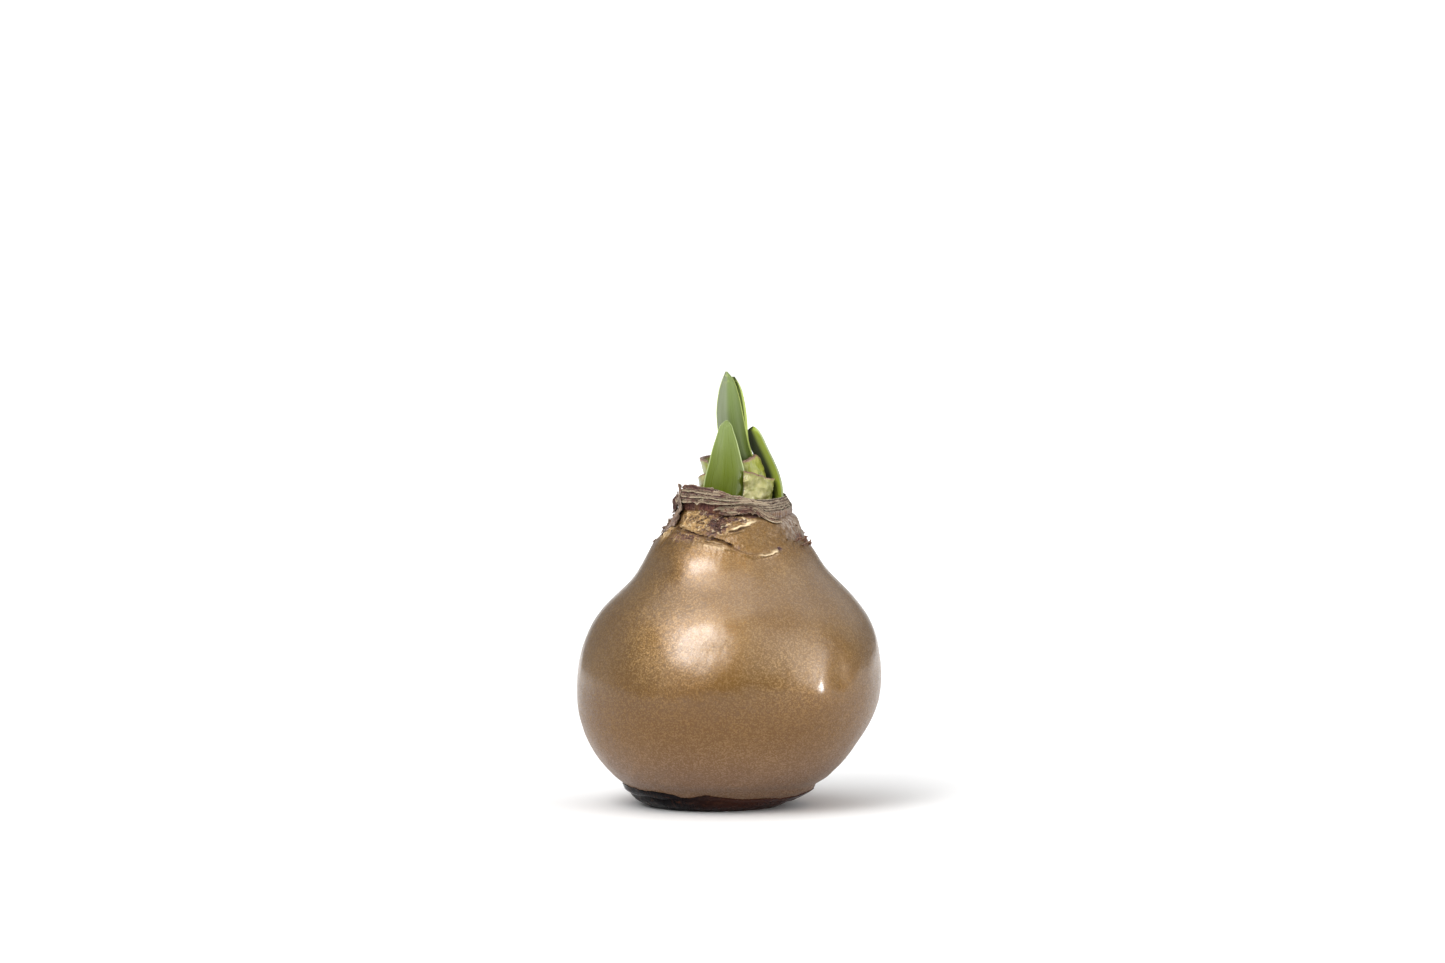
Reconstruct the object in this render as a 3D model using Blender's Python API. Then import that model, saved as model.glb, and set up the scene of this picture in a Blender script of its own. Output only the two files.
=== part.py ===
"""A waxed amaryllis bulb with its young shoots: a natural bulb in a coat of gold wax, on a dark wax foot.

The model is in metres, +Z up, and every length below is in millimetres until a mesh is made of it.
The origin is on the surface the bulb stands on, under the middle of its body. -Y is the front, where the
broad young leaf grows, and +X is the right. Angles round the axis start at the right, so the front is at -90.
"""

import math

import bmesh
import bpy
import numpy as np

MM = 0.001

# Driving dimensions
WAX_THICKNESS = 1.5
WAX_EDGE_THICKNESS = 0.9
GAP = 0.3
LEAF_THICKNESS = 1.5
BRACT_THICKNESS = 2.0
STUMP_THICKNESS = 1.1
MARGIN_THICKNESS = 0.8
SKIN_THICKNESS = 0.8
FOOT_TOP = 7.4
FOOT_TOP_INSET = 3.6
BODY_START = 8.9
NECK_START = 0.9
SKIN_ABOVE_WAX = 1.2
CROWN_HEIGHT = 93.0
CROWN_DOME = 0.5
SHOOT_BASE = CROWN_HEIGHT + CROWN_DOME + GAP

# How finely the pieces are divided, and the seed of their torn edges
SEGMENTS = 64
BODY_ROWS = 19
TORN_LAYERS = 3
SEED = 7

# The coat's outer radius by height: height, right, front, left, back
BODY_PROFILE = (
    (8.9, 30.1, 32.2, 35.2, 32.6),
    (12.6, 34.4, 36.2, 38.9, 36.4),
    (18.3, 39.0, 40.4, 43.0, 40.4),
    (25.8, 43.8, 44.4, 46.2, 44.2),
    (33.3, 46.7, 46.4, 47.5, 46.2),
    (40.8, 47.6, 46.8, 47.4, 46.6),
    (48.3, 47.0, 45.8, 46.1, 45.6),
    (55.9, 45.0, 43.3, 43.2, 43.3),
    (61.5, 41.9, 40.0, 39.5, 40.1),
    (67.1, 37.2, 34.9, 33.9, 35.3),
    (70.9, 33.4, 31.3, 30.1, 31.6),
    (74.6, 30.0, 28.4, 27.6, 28.8),
    (78.4, 27.4, 26.2, 25.6, 26.4),
    (82.1, 25.0, 24.2, 23.4, 24.2),
    (86.0, 22.9, 21.8, 19.9, 21.6),
    (90.0, 21.3, 19.6, 17.3, 19.4),
    (94.0, 19.6, 18.0, 16.0, 17.8),
)

# Radius and height of the rings at the foot, each given as right, front, left, back
FOOT_PATCH = ((15.3, 17.6, 24.3, 17.4), (0.0, 0.0, 0.0, 0.0))
FOOT_SIDE = ((17.6, 21.6, 29.0, 22.2), (1.0, 1.6, 2.2, 1.8))
WAX_EDGE = ((20.8, 25.3, 31.2, 26.5), (2.3, 4.0, 4.6, 4.4))
WAX_LIP = ((26.3, 27.3, 32.6, 28.4), (5.3, 5.6, 5.7, 5.9))
WAX_NOTCH = ((27.3, 29.2, 33.2, 29.9), (7.0, 7.1, 7.2, 7.2))

# The neck, given the same way: its radius outside and inside, and the heights of its outer and inner scale ends
NECK_WALL = (19.6, 17.4, 15.3, 17.3)
NECK_MOUTH = (17.2, 11.8, 10.8, 10.8)
OUTER_SKIN_TOP = ((96.4, 93.6, 96.2, 95.4), (96.9, 94.6, 97.2, 96.4))
BULB_SCALES_TOP = ((97.2, 97.6, 99.2, 98.2), (97.5, 98.2, 99.7, 98.9))

# Where one dry scale ends and the next comes out of it, and where the wax ends: angle in degrees, height
LOWER_SCALE_EDGE = (
    (-180, 87.0), (-150, 86.4), (-125, 85.2), (-90, 81.4), (-65, 79.9), (-45, 81.0),
    (-15, 83.2), (20, 84.6), (60, 82.4), (100, 81.0), (140, 84.6),
)
WAX_TOP_EDGE = (
    (-180, 92.2), (-140, 92.9), (-108, 90.2), (-92, 87.0), (-70, 89.4), (-35, 89.2),
    (0, 91.6), (45, 92.0), (90, 89.6), (135, 91.2),
)

# Soft dents and swellings of the body: angle in degrees, height, width, rise
BODY_SWELLS = (
    (-52, 36.5, 7.0, 0.5),
    (-43, 43.0, 5.5, -0.6),
    (-98, 51.0, 8.0, -0.5),
    (-118, 30.0, 14.0, 0.5),
    (-70, 62.0, 9.0, -0.5),
    (25, 45.0, 12.0, 0.6),
    (75, 36.0, 13.0, -0.7),
    (120, 50.0, 12.0, 0.7),
    (165, 28.0, 12.0, -0.5),
)

# Base colour, roughness and metallic share of each material
COLOURS = {
    "gold_wax": ((0.42, 0.26, 0.11), 0.32, 0.75),
    "dark_wax": ((0.018, 0.013, 0.012), 0.25, 0.0),
    "bulb_scales": ((0.30, 0.22, 0.13), 0.7, 0.0),
    "dry_tunic": ((0.23, 0.15, 0.09), 0.8, 0.0),
    "leaf_green": ((0.22, 0.36, 0.07), 0.45, 0.0),
    "bud_green": ((0.25, 0.36, 0.15), 0.5, 0.0),
    "pale_leaf_base": ((0.50, 0.52, 0.24), 0.5, 0.0),
}

THETA = np.linspace(0.0, 2.0 * math.pi, SEGMENTS, endpoint=False)


def spline(knots, values):
    """The natural cubic spline through some points, as a function."""
    x, y = np.asarray(knots, float), np.asarray(values, float)
    count, step = len(x), np.diff(x)
    system, target = np.eye(count), np.zeros(count)
    for i in range(1, count - 1):
        system[i, i - 1 : i + 2] = step[i - 1], 2 * (step[i - 1] + step[i]), step[i]
        target[i] = 6 * ((y[i + 1] - y[i]) / step[i] - (y[i] - y[i - 1]) / step[i - 1])
    bend = np.linalg.solve(system, target)

    def at(query):
        query = np.asarray(query, float)
        i = np.clip(np.searchsorted(x, query) - 1, 0, count - 2)
        low, high, h = query - x[i], x[i + 1] - query, step[i]
        curved = (bend[i] * high**3 + bend[i + 1] * low**3) / (6 * h)
        return curved + (y[i] / h - bend[i] * h / 6) * high + (y[i + 1] / h - bend[i + 1] * h / 6) * low

    return at


def around(pairs):
    """A smooth closed curve through (degrees, height) pairs, as a function of the angle in radians."""
    degrees = [angle + turn for turn in (-360, 0, 360) for angle, _ in pairs]
    curve = spline(degrees, [height for _, height in pairs] * 3)
    return lambda theta: curve((np.degrees(theta) + 180.0) % 360.0 - 180.0)


def four_way(values, theta):
    """Blends values given to the right, front, left and back smoothly round the axis."""
    right, front, left, back = values
    mean = (right + front + left + back) / 4
    oval = (right + left - front - back) / 4
    across, along = (right - left) / 2, (back - front) / 2
    return mean + across * np.cos(theta) + along * np.sin(theta) + oval * np.cos(2 * theta)


PROFILES = [spline([row[0] for row in BODY_PROFILE], [row[side] for row in BODY_PROFILE]) for side in range(1, 5)]
LOWER_EDGE = around(LOWER_SCALE_EDGE)
UPPER_EDGE = around(WAX_TOP_EDGE)


def smooth_radius(theta, z):
    """The coat's outer radius before its dents and its ledge."""
    return four_way([profile(z) for profile in PROFILES], theta)


def swell(theta, z):
    """How far the dents and swellings move the coat's surface."""
    rise = np.zeros(np.broadcast(theta, z).shape)
    for degrees, height, width, lift in BODY_SWELLS:
        turn = (theta - math.radians(degrees) + math.pi) % (2 * math.pi) - math.pi
        sideways = turn * smooth_radius(theta, z) / width
        upward = (z - height) / width
        rise = rise + lift * np.exp(-(sideways**2) - upward**2)
    return rise


def ledge(theta, z):
    """The lip where the outermost dry scale ends, and the step in to the next one above it."""
    above = z - LOWER_EDGE(theta)
    lip = 0.55 * np.exp(-((above / 1.1) ** 2)) * (above <= 0)
    step = -0.55 * np.exp(-above / 3.5) * (above > 0)
    return lip + step


def coat_radius(theta, z):
    """The outside of the coat."""
    return smooth_radius(theta, z) + swell(theta, z) + ledge(theta, z)


def inside_radius(theta, z):
    """The inside of the coat, which follows its outside without the ledge."""
    return smooth_radius(theta, z) + swell(theta, z) - WAX_THICKNESS


def wax_wave(theta):
    """How far the coat's wavy lower edge reaches down, as a share of the way to the flat patch."""
    return 0.06 * np.sin(13 * theta + 0.9) + 0.05 * np.sin(5 * theta + 2.2) + 0.03 * np.sin(8 * theta)


def body_heights(theta):
    """The heights of the rows of points up the body, from its start to just under the ledge."""
    share = np.linspace(0.0, 1.0, BODY_ROWS)[:, None]
    return BODY_START + (LOWER_EDGE(theta)[None, :] - 2 * NECK_START - BODY_START) * share


def neck_height(theta, share):
    """A height in the waxed part of the neck, from 0 just above the ledge to 1 at the wax's upper edge."""
    start = LOWER_EDGE(theta) + NECK_START
    return start + (UPPER_EDGE(theta) - start) * share


def between_skins(theta):
    """The radius round the neck where the bulb's own scales end and its dry outer skin begins."""
    return (four_way(NECK_WALL, theta) + four_way(NECK_MOUTH, theta)) / 2


def polar(radius, z):
    """A ring of points at these radii and heights."""
    radius, z = np.broadcast_to(radius, THETA.shape), np.broadcast_to(z, THETA.shape)
    return np.stack([radius * np.cos(THETA), radius * np.sin(THETA), z], axis=1)


def low_ring(ring, slide=0.0, inward=0.0, upward=0.0):
    """One of the rings at the foot, slid towards its flat patch and then offset."""
    radius = four_way(ring[0], THETA) * (1 - slide) + four_way(FOOT_PATCH[0], THETA) * slide
    height = four_way(ring[1], THETA) * (1 - slide)
    return polar(radius - inward, height + upward)


def material(name):
    made = bpy.data.materials.get(name)
    if made is None:
        colour, roughness, metallic = COLOURS[name]
        made = bpy.data.materials.new(name)
        made.use_nodes = True
        shader = made.node_tree.nodes["Principled BSDF"]
        shader.inputs["Base Color"].default_value = (*colour, 1.0)
        shader.inputs["Roughness"].default_value = roughness
        shader.inputs["Metallic"].default_value = metallic
    return made


def make_object(name, bm, material_name):
    """Turns a bmesh in millimetres into a smooth-shaded object in metres, with its faces outward."""
    bmesh.ops.scale(bm, vec=(MM, MM, MM), verts=bm.verts)
    bmesh.ops.recalc_face_normals(bm, faces=bm.faces)
    mesh = bpy.data.meshes.new(name)
    bm.to_mesh(mesh)
    bm.free()
    mesh.materials.append(material(material_name))
    mesh.shade_smooth()
    mesh.set_sharp_from_angle(angle=math.radians(40))
    bpy.context.scene.collection.objects.link(bpy.data.objects.new(name, mesh))


def bridge(bm, low, high):
    """Joins two rings of points with faces."""
    for i in range(len(low)):
        j = (i + 1) % len(low)
        bm.faces.new((low[i], low[j], high[j], high[i]))


def ring_body(name, material_name, loops):
    """A collar or shell: its rings go up its outside and back down its inside."""
    bm = bmesh.new()
    rings = [[bm.verts.new(point) for point in loop] for loop in loops]
    for low, high in zip(rings, rings[1:] + rings[:1]):
        bridge(bm, low, high)
    make_object(name, bm, material_name)


def capped_body(name, material_name, loops, dome=0.0):
    """A solid body made of rings, closed by a flat fan of faces at its foot and a slight dome at its top."""
    bm = bmesh.new()
    rings = [[bm.verts.new(point) for point in loop] for loop in loops]
    for low, high in zip(rings, rings[1:]):
        bridge(bm, low, high)
    for ring, loop, lift in ((rings[0], loops[0], 0.0), (rings[-1], loops[-1], dome)):
        middle = bm.verts.new(np.mean(loop, axis=0) + (0, 0, lift))
        for i in range(len(ring)):
            bm.faces.new((middle, ring[i], ring[(i + 1) % len(ring)]))
    make_object(name, bm, material_name)


def blade_body(name, material_name, outer, inner):
    """A closed blade from two grids of points, its outer and inner face, split into triangles alike."""
    bm = bmesh.new()
    rows, columns = outer.shape[:2]
    faces = [[[bm.verts.new(point) for point in row] for row in grid] for grid in (outer, inner)]
    for grid in faces:
        for i in range(rows - 1):
            for j in range(columns - 1):
                a, b, c, d = grid[i][j], grid[i][j + 1], grid[i + 1][j + 1], grid[i + 1][j]
                bm.faces.new((a, b, c))
                bm.faces.new((a, c, d))
    out, back = faces
    rim = [(i, 0) for i in range(rows)] + [(rows - 1, j) for j in range(1, columns)]
    rim += [(i, columns - 1) for i in range(rows - 2, -1, -1)] + [(0, j) for j in range(columns - 2, 0, -1)]
    for (i, j), (k, m) in zip(rim, rim[1:] + rim[:1]):
        bm.faces.new((out[i][j], out[k][m], back[k][m]))
        bm.faces.new((out[i][j], back[k][m], back[i][j]))
    make_object(name, bm, material_name)


def blade(name, material_name, thickness, stations, facing, bow, grid, top=None, roll=0.0):
    """A leaf, a bract or a leaf stump: an upright blade, curved about its length.

    thickness: along its ridge, thinning to its margins and its tip.
    stations: height, x and y of the ridge of its outer face, and half its width.
    facing: the way its outer face looks, in degrees. bow: the radius of its curve across.
    grid: its rows and columns of points.
    top: its upper edge as a function of the place across, from -1 to 1; without it, it ends in its last station.
    roll: how far its upper edge bends out.
    """
    rows, columns = grid
    heights = [row[0] for row in stations]
    x, y, half_width = (spline(heights, [row[k] for row in stations]) for k in (1, 2, 3))
    look = math.radians(facing)
    outer, inner = np.zeros((rows, columns, 3)), np.zeros((rows, columns, 3))
    for i in range(rows):
        up = i / (rows - 1)
        share = 1 - (1 - up) ** 1.35 if top is None else up
        for j, a in enumerate(np.linspace(-1.0, 1.0, columns)):
            end = heights[-1] if top is None else top(a)
            z = heights[0] + (end - heights[0]) * share
            half = max(MARGIN_THICKNESS / 3, min(float(half_width(z)), bow))
            turn = look + a * math.asin(half / bow)
            ridge = min(thickness, max(MARGIN_THICKNESS, 0.45 * half))
            thick = ridge + (MARGIN_THICKNESS - ridge) * a * a
            axis_x, axis_y = float(x(z)) - bow * math.cos(look), float(y(z)) - bow * math.sin(look)
            reach = bow + roll * share**3
            for points, radius in ((outer, reach), (inner, reach - thick)):
                points[i, j] = axis_x + radius * math.cos(turn), axis_y + radius * math.sin(turn), z
    blade_body(name, material_name, outer, inner)


def neck_radius(theta, z):
    """The outermost surface at a place on the neck: the wax, or the dry skin above it."""
    return np.maximum(coat_radius(theta, np.minimum(z, UPPER_EDGE(theta))), four_way(NECK_WALL, theta))


def loose_skin(name, degrees, low, high, curl, grid, tear=0.3, stand=0.65):
    """A torn piece of dry skin that lies on the neck.

    degrees: its two ends round the neck. low, high: its lower and upper edge, as functions of the place along it
    from 0 to 1. curl: how far its upper edge bends out. grid: its rows and columns of points.
    tear: how ragged its upper edge is. stand: how far it stands off the neck.
    """
    rows, columns = grid
    ragged = tear * np.random.default_rng(SEED + len(name)).uniform(-1.0, 1.0, columns)
    outer, inner = np.zeros((rows, columns, 3)), np.zeros((rows, columns, 3))
    for j, along in enumerate(np.linspace(0.0, 1.0, columns)):
        theta = math.radians(degrees[0] + (degrees[1] - degrees[0]) * along)
        for i in range(rows):
            share = i / (rows - 1)
            z = low(along) + (high(along) + ragged[j] - low(along)) * share
            reach = float(neck_radius(theta, z)) + stand + curl * share**2
            for points, radius in ((outer, reach + SKIN_THICKNESS), (inner, reach)):
                points[i, j] = radius * math.cos(theta), radius * math.sin(theta), z
    blade_body(name, "dry_tunic", outer, inner)


def dark_foot():
    """The dark wax that seals the root plate and makes the flat foot."""
    wave = wax_wave(THETA)
    loops = [
        low_ring(FOOT_PATCH),
        low_ring(FOOT_SIDE),
        low_ring(WAX_EDGE, wave, WAX_EDGE_THICKNESS - GAP / 2),
        low_ring(WAX_EDGE, wave, WAX_EDGE_THICKNESS + 2 * GAP, WAX_EDGE_THICKNESS),
        polar(four_way(WAX_NOTCH[0], THETA) - FOOT_TOP_INSET, FOOT_TOP),
    ]
    capped_body("dark_foot", "dark_wax", loops)


def wax_coat():
    """The shell of gold wax, from its wavy lower edge over the foot to its upper edge round the neck."""
    wave, lower = wax_wave(THETA), LOWER_EDGE(THETA)
    heights = list(body_heights(THETA))
    near_ledge = [lower + offset for offset in (-0.9, -0.3, 0.0, 0.3, 0.9)]
    neck = [neck_height(THETA, share) for share in (0.3, 0.6, 0.85, 1.0)]
    outside = [low_ring(WAX_EDGE, wave), low_ring(WAX_LIP), low_ring(WAX_NOTCH)]
    outside += [polar(coat_radius(THETA, z), z) for z in heights + near_ledge + neck]
    # The inside has every second row of the outside, and the bulb has the same rows.
    inside = [low_ring(WAX_EDGE, wave, WAX_EDGE_THICKNESS, WAX_EDGE_THICKNESS)]
    inside += [polar(inside_radius(THETA, z), z) for z in heights[::2] + [lower] + neck[1::2]]
    ring_body("wax_coat", "gold_wax", outside + inside[::-1])


def torn_ends(start, end, tops, phase):
    """The rings over the ends of some dry scales: each has a ragged edge, with a groove before the next."""
    low_top, high_top = (four_way(heights, THETA) for heights in tops)
    rings = []
    for layer in range(TORN_LAYERS):
        near, far = (start + (end - start) * (layer + side) / TORN_LAYERS for side in (0, 1))
        top = low_top + (high_top - low_top) * layer / (TORN_LAYERS - 1)
        for waves in (3, 7, 11, 17):
            top = top + 0.5 / math.sqrt(waves) * np.sin(waves * THETA + phase + 1.7 * waves * (layer + 1))
        rings += [polar(near, top - 0.3), polar(near * 0.4 + far * 0.6, top)]
        if layer < TORN_LAYERS - 1:
            rings.append(polar(near * 0.1 + far * 0.9, top - 1.1))
    return rings


def outer_skin():
    """The bulb's dry outer skin, a collar of torn layers that comes up out of the wax round the neck."""
    wall, between = four_way(NECK_WALL, THETA), between_skins(THETA) + GAP / 2
    under_wax = [neck_height(THETA, share) for share in (0.0, 0.6, 1.0)]
    loops = [polar(inside_radius(THETA, z) - GAP, z) for z in under_wax]
    loops.append(polar(wall, UPPER_EDGE(THETA) + SKIN_ABOVE_WAX))
    loops += torn_ends(wall, between, OUTER_SKIN_TOP, 0.4)
    loops.append(polar(between, under_wax[0]))
    ring_body("dry_outer_skin", "dry_tunic", loops)


def bulb():
    """The bulb: its body inside the wax, its neck of scales with torn ends, and the crown inside the neck."""
    rows, lower = list(body_heights(THETA))[::2], LOWER_EDGE(THETA)
    shoulder = neck_height(THETA, 0.0) - GAP
    mouth, between = four_way(NECK_MOUTH, THETA), between_skins(THETA) - GAP / 2
    loops = [
        polar(four_way(WAX_NOTCH[0], THETA) - FOOT_TOP_INSET, FOOT_TOP + GAP),
        polar(inside_radius(THETA, rows[0]) - GAP, rows[0] + GAP),
    ]
    loops += [polar(inside_radius(THETA, z) - GAP, z) for z in rows[1:] + [lower]]
    loops += [polar(inside_radius(THETA, shoulder) - 1.5 * GAP, shoulder), polar(between, shoulder)]
    loops += torn_ends(between, mouth, BULB_SCALES_TOP, 2.1)
    loops.append(polar(mouth, CROWN_HEIGHT))
    capped_body("bulb", "bulb_scales", loops, CROWN_DOME)


def leaves():
    """The two young leaves, which stand on the crown inside the neck."""
    blade(
        "leaf_front", "leaf_green", LEAF_THICKNESS,
        ((SHOOT_BASE, -2.0, -9.4, 6.1), (98, -1.9, -9.5, 6.3), (103, -1.3, -9.5, 6.2), (107.3, -1.1, -9.1, 5.2),
         (111, -1.1, -8.6, 4.3), (115, -1.0, -7.9, 3.1), (117.3, -1.0, -7.5, 2.35), (119.2, -0.9, -7.2, 1.5),
         (120.4, -0.8, -7.0, 0.3)),
        facing=-92, bow=8.5, grid=(14, 9),
    )
    blade(
        "leaf_right", "leaf_green", LEAF_THICKNESS,
        ((SHOOT_BASE, 15.5, 2.6, 4.6), (99, 15.4, 2.6, 4.6), (104, 14.2, 2.7, 4.8), (108, 12.5, 2.8, 5.0),
         (111.7, 10.7, 2.9, 5.0), (115, 9.2, 2.9, 4.5), (117, 8.2, 2.9, 3.2), (118.3, 7.6, 2.9, 0.5)),
        facing=28, bow=9.0, grid=(12, 9),
    )


def bud():
    """The flower bud, closed in its two bracts, which leans a little to the left."""
    blade(
        "bud_bract_front", "bud_green", BRACT_THICKNESS,
        ((SHOOT_BASE, 6.0, -2.1, 4.2), (100, 5.7, -2.1, 4.3), (107.5, 3.4, -2.2, 4.4), (111, 2.0, -2.3, 4.5),
         (118.6, 0.5, -2.2, 4.4), (123, 0.0, -1.9, 4.1), (127, -0.2, -1.3, 3.5), (131, -0.3, -0.7, 2.5),
         (133.5, -0.4, -0.35, 1.5), (135.4, -0.8, 0.0, 0.3)),
        facing=-94, bow=5.0, grid=(16, 9),
    )
    blade(
        "bud_bract_back", "bud_green", BRACT_THICKNESS,
        ((SHOOT_BASE, 6.0, 3.9, 4.2), (100, 5.9, 4.2, 4.3), (107.5, 3.8, 4.6, 4.6), (114, 1.9, 4.6, 4.5),
         (119, 1.5, 4.5, 4.5), (123, 1.3, 4.1, 4.3), (127.3, 1.2, 3.4, 3.6), (130.4, 1.2, 2.8, 2.6),
         (132.6, 1.3, 2.3, 1.3), (133.8, 1.4, 2.0, 0.4)),
        facing=86, bow=5.0, grid=(16, 9),
    )


def leaf_stumps():
    """What is left of last year's leaves, two on the right and two on the left, cut off above the neck."""
    blade(
        "leaf_stump_right_outer", "pale_leaf_base", STUMP_THICKNESS,
        ((SHOOT_BASE, 11.8, -5.7, 6.6), (98, 11.9, -5.7, 6.6), (105, 11.9, -5.7, 6.6)),
        facing=-38, bow=7.3, grid=(7, 11), roll=0.25,
        top=lambda a: 103.0 - 1.6 * a - 0.5 * math.cos(4 * a),
    )
    blade(
        "leaf_stump_right_inner", "pale_leaf_base", STUMP_THICKNESS,
        ((SHOOT_BASE, 8.5, -4.4, 4.8), (102.7, 8.2, -4.3, 4.8), (108, 6.4, -4.15, 4.8), (111, 5.4, -4.1, 4.8)),
        facing=-60, bow=7.8, grid=(9, 9), roll=0.2,
        top=lambda a: 108.6 + 1.4 * a - 5.0 * max(0.0, a - 0.65),
    )
    blade(
        "leaf_stump_left_outer", "pale_leaf_base", STUMP_THICKNESS,
        ((SHOOT_BASE, -9.0, 2.4, 5.6), (99, -9.1, 2.4, 5.8), (101.6, -9.4, 2.4, 5.9), (104, -9.0, 2.4, 5.8)),
        facing=172, bow=6.7, grid=(7, 9), roll=0.1,
        top=lambda a: 103.2 - 0.7 * math.cos(3 * a),
    )
    blade(
        "leaf_stump_left_inner", "pale_leaf_base", STUMP_THICKNESS,
        ((SHOOT_BASE, -7.0, 2.6, 4.6), (101, -7.2, 2.6, 4.7), (104.6, -8.1, 2.6, 4.9), (109.5, -9.2, 2.6, 5.1)),
        facing=168, bow=5.5, grid=(9, 9),
        top=lambda a: 108.6 - 0.8 * a,
    )


def torn_skins():
    """The torn pieces of dry skin that stick out round the neck."""
    loose_skin(
        "skin_flap_left", (-166, -137), lambda u: 89.6, lambda u: 100.6 - 4.5 * (1 - u) ** 2,
        curl=0.3, grid=(7, 6), tear=0.15,
    )
    loose_skin(
        "skin_curl_left", (-199, -174), lambda u: 91.6 + u, lambda u: 96.2 - 1.2 * u,
        curl=0.7, grid=(5, 5),
    )
    loose_skin(
        "skin_flake_left", (-187, -166), lambda u: 87.6, lambda u: 89.4,
        curl=0.4, grid=(4, 5), stand=0.9,
    )
    loose_skin(
        "skin_strip_front", (-78, -34), lambda u: 91.6 - 4.0 * u, lambda u: 93.4 - 3.2 * u,
        curl=0.4, grid=(4, 9), tear=0.2,
    )
    loose_skin(
        "skin_flake_right", (-34, -12), lambda u: 80.0 + u, lambda u: 82.4 + 1.8 * u,
        curl=0.2, grid=(5, 6), stand=1.15,
    )


for old in list(bpy.data.objects):
    bpy.data.objects.remove(old)
dark_foot()
wax_coat()
bulb()
outer_skin()
leaves()
bud()
leaf_stumps()
torn_skins()
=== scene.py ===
"""The looks of a waxed amaryllis bulb: its coat of gold wax, torn dry skins, leaves and bud.

Lengths are in millimetres until a mesh is made of them, and colours are linear. Angles round the axis start
at the right, so the front is at -90 degrees. The shapes follow the same values as the model.
"""

import math

import bpy
import numpy as np
from mathutils import Matrix, Vector


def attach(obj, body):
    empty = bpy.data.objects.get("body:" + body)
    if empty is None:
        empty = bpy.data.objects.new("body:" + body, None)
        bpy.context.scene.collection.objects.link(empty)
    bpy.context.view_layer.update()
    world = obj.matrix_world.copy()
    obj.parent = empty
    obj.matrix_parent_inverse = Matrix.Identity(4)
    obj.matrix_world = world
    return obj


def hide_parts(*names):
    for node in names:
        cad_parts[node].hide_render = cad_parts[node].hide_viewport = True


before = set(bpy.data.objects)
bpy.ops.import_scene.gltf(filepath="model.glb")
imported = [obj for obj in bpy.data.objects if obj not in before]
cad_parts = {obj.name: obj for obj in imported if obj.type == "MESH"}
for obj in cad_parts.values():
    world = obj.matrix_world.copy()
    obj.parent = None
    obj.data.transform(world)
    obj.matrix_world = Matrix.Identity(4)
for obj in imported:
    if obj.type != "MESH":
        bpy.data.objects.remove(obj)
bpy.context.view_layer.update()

MM = 0.001

# The model's own values
WAX_THICKNESS = 1.5
WAX_EDGE_THICKNESS = 0.9
GAP = 0.3
BODY_START = 8.9
FOOT_TOP = 7.4
CROWN_HEIGHT = 93.0
SHOOT_BASE = 93.8
# The body: height, and its radius to the right, front, left and back
BODY_PROFILE = (
    (8.9, 30.1, 32.2, 35.2, 32.6),
    (12.6, 34.4, 36.2, 38.9, 36.4),
    (18.3, 39.0, 40.4, 43.0, 40.4),
    (25.8, 43.8, 44.4, 46.2, 44.2),
    (33.3, 46.7, 46.4, 47.5, 46.2),
    (40.8, 47.6, 46.8, 47.4, 46.6),
    (48.3, 47.0, 45.8, 46.1, 45.6),
    (55.9, 45.0, 43.3, 43.2, 43.3),
    (61.5, 41.9, 40.0, 39.5, 40.1),
    (67.1, 37.2, 34.9, 33.9, 35.3),
    (70.9, 33.4, 31.3, 30.1, 31.6),
    (74.6, 30.0, 28.4, 27.6, 28.8),
    (78.4, 27.4, 26.2, 25.6, 26.4),
    (82.1, 25.0, 24.2, 23.4, 24.2),
    (86.0, 22.9, 21.8, 19.9, 21.6),
    (90.0, 21.3, 19.6, 17.3, 19.4),
    (94.0, 19.6, 18.0, 16.0, 17.8),
)
# The rings at the foot, from the flat patch up: radius, then height, to the right, front, left and back
FOOT_PATCH = ((15.3, 17.6, 24.3, 17.4), (0.0, 0.0, 0.0, 0.0))
FOOT_SIDE = ((17.6, 21.6, 29.0, 22.2), (1.0, 1.6, 2.2, 1.8))
WAX_EDGE = ((20.8, 25.3, 31.2, 26.5), (2.3, 4.0, 4.6, 4.4))
WAX_LIP = ((26.3, 27.3, 32.6, 28.4), (5.3, 5.6, 5.7, 5.9))
WAX_NOTCH = ((27.3, 29.2, 33.2, 29.9), (7.0, 7.1, 7.2, 7.2))
# The radius of the neck's wall and of its mouth, the same four ways
NECK_WALL = (19.6, 17.4, 15.3, 17.3)
NECK_MOUTH = (17.2, 11.8, 10.8, 10.8)
# The soft swellings and dents of the body: angle, height, half size and rise
BODY_SWELLS = (
    (-52, 36.5, 7.0, 0.5),
    (-43, 43.0, 5.5, -0.6),
    (-98, 51.0, 8.0, -0.5),
    (-118, 30.0, 14.0, 0.5),
    (-70, 62.0, 9.0, -0.5),
    (25, 45.0, 12.0, 0.6),
    (75, 36.0, 13.0, -0.7),
    (120, 50.0, 12.0, 0.7),
    (165, 28.0, 12.0, -0.5),
)

# The torn edge of the dry scales under the wax, and the wax's own upper edge: angle, height
SCALE_EDGE = (
    (-180, 87.2), (-152, 87.2), (-135, 86.5), (-123, 85.7), (-112, 84.8), (-97, 83.7), (-88, 82.1),
    (-79, 80.1), (-68, 79.8), (-57, 80.7), (-45, 82.0), (-30, 83.2), (-12, 83.8), (20, 84.6), (60, 82.4),
    (100, 81.0), (140, 84.6),
)
WAX_TOP_EDGE = (
    (-180, 92.2), (-150, 92.8), (-125, 92.8), (-112, 92.4), (-102, 91.6), (-92, 91.0), (-84, 91.2),
    (-76, 91.5), (-68, 91.5), (-60, 90.9), (-52, 90.0), (-42, 89.8), (-28, 90.6), (-12, 91.2), (10, 91.4),
    (45, 92.2), (90, 90.2), (135, 91.6),
)
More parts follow.
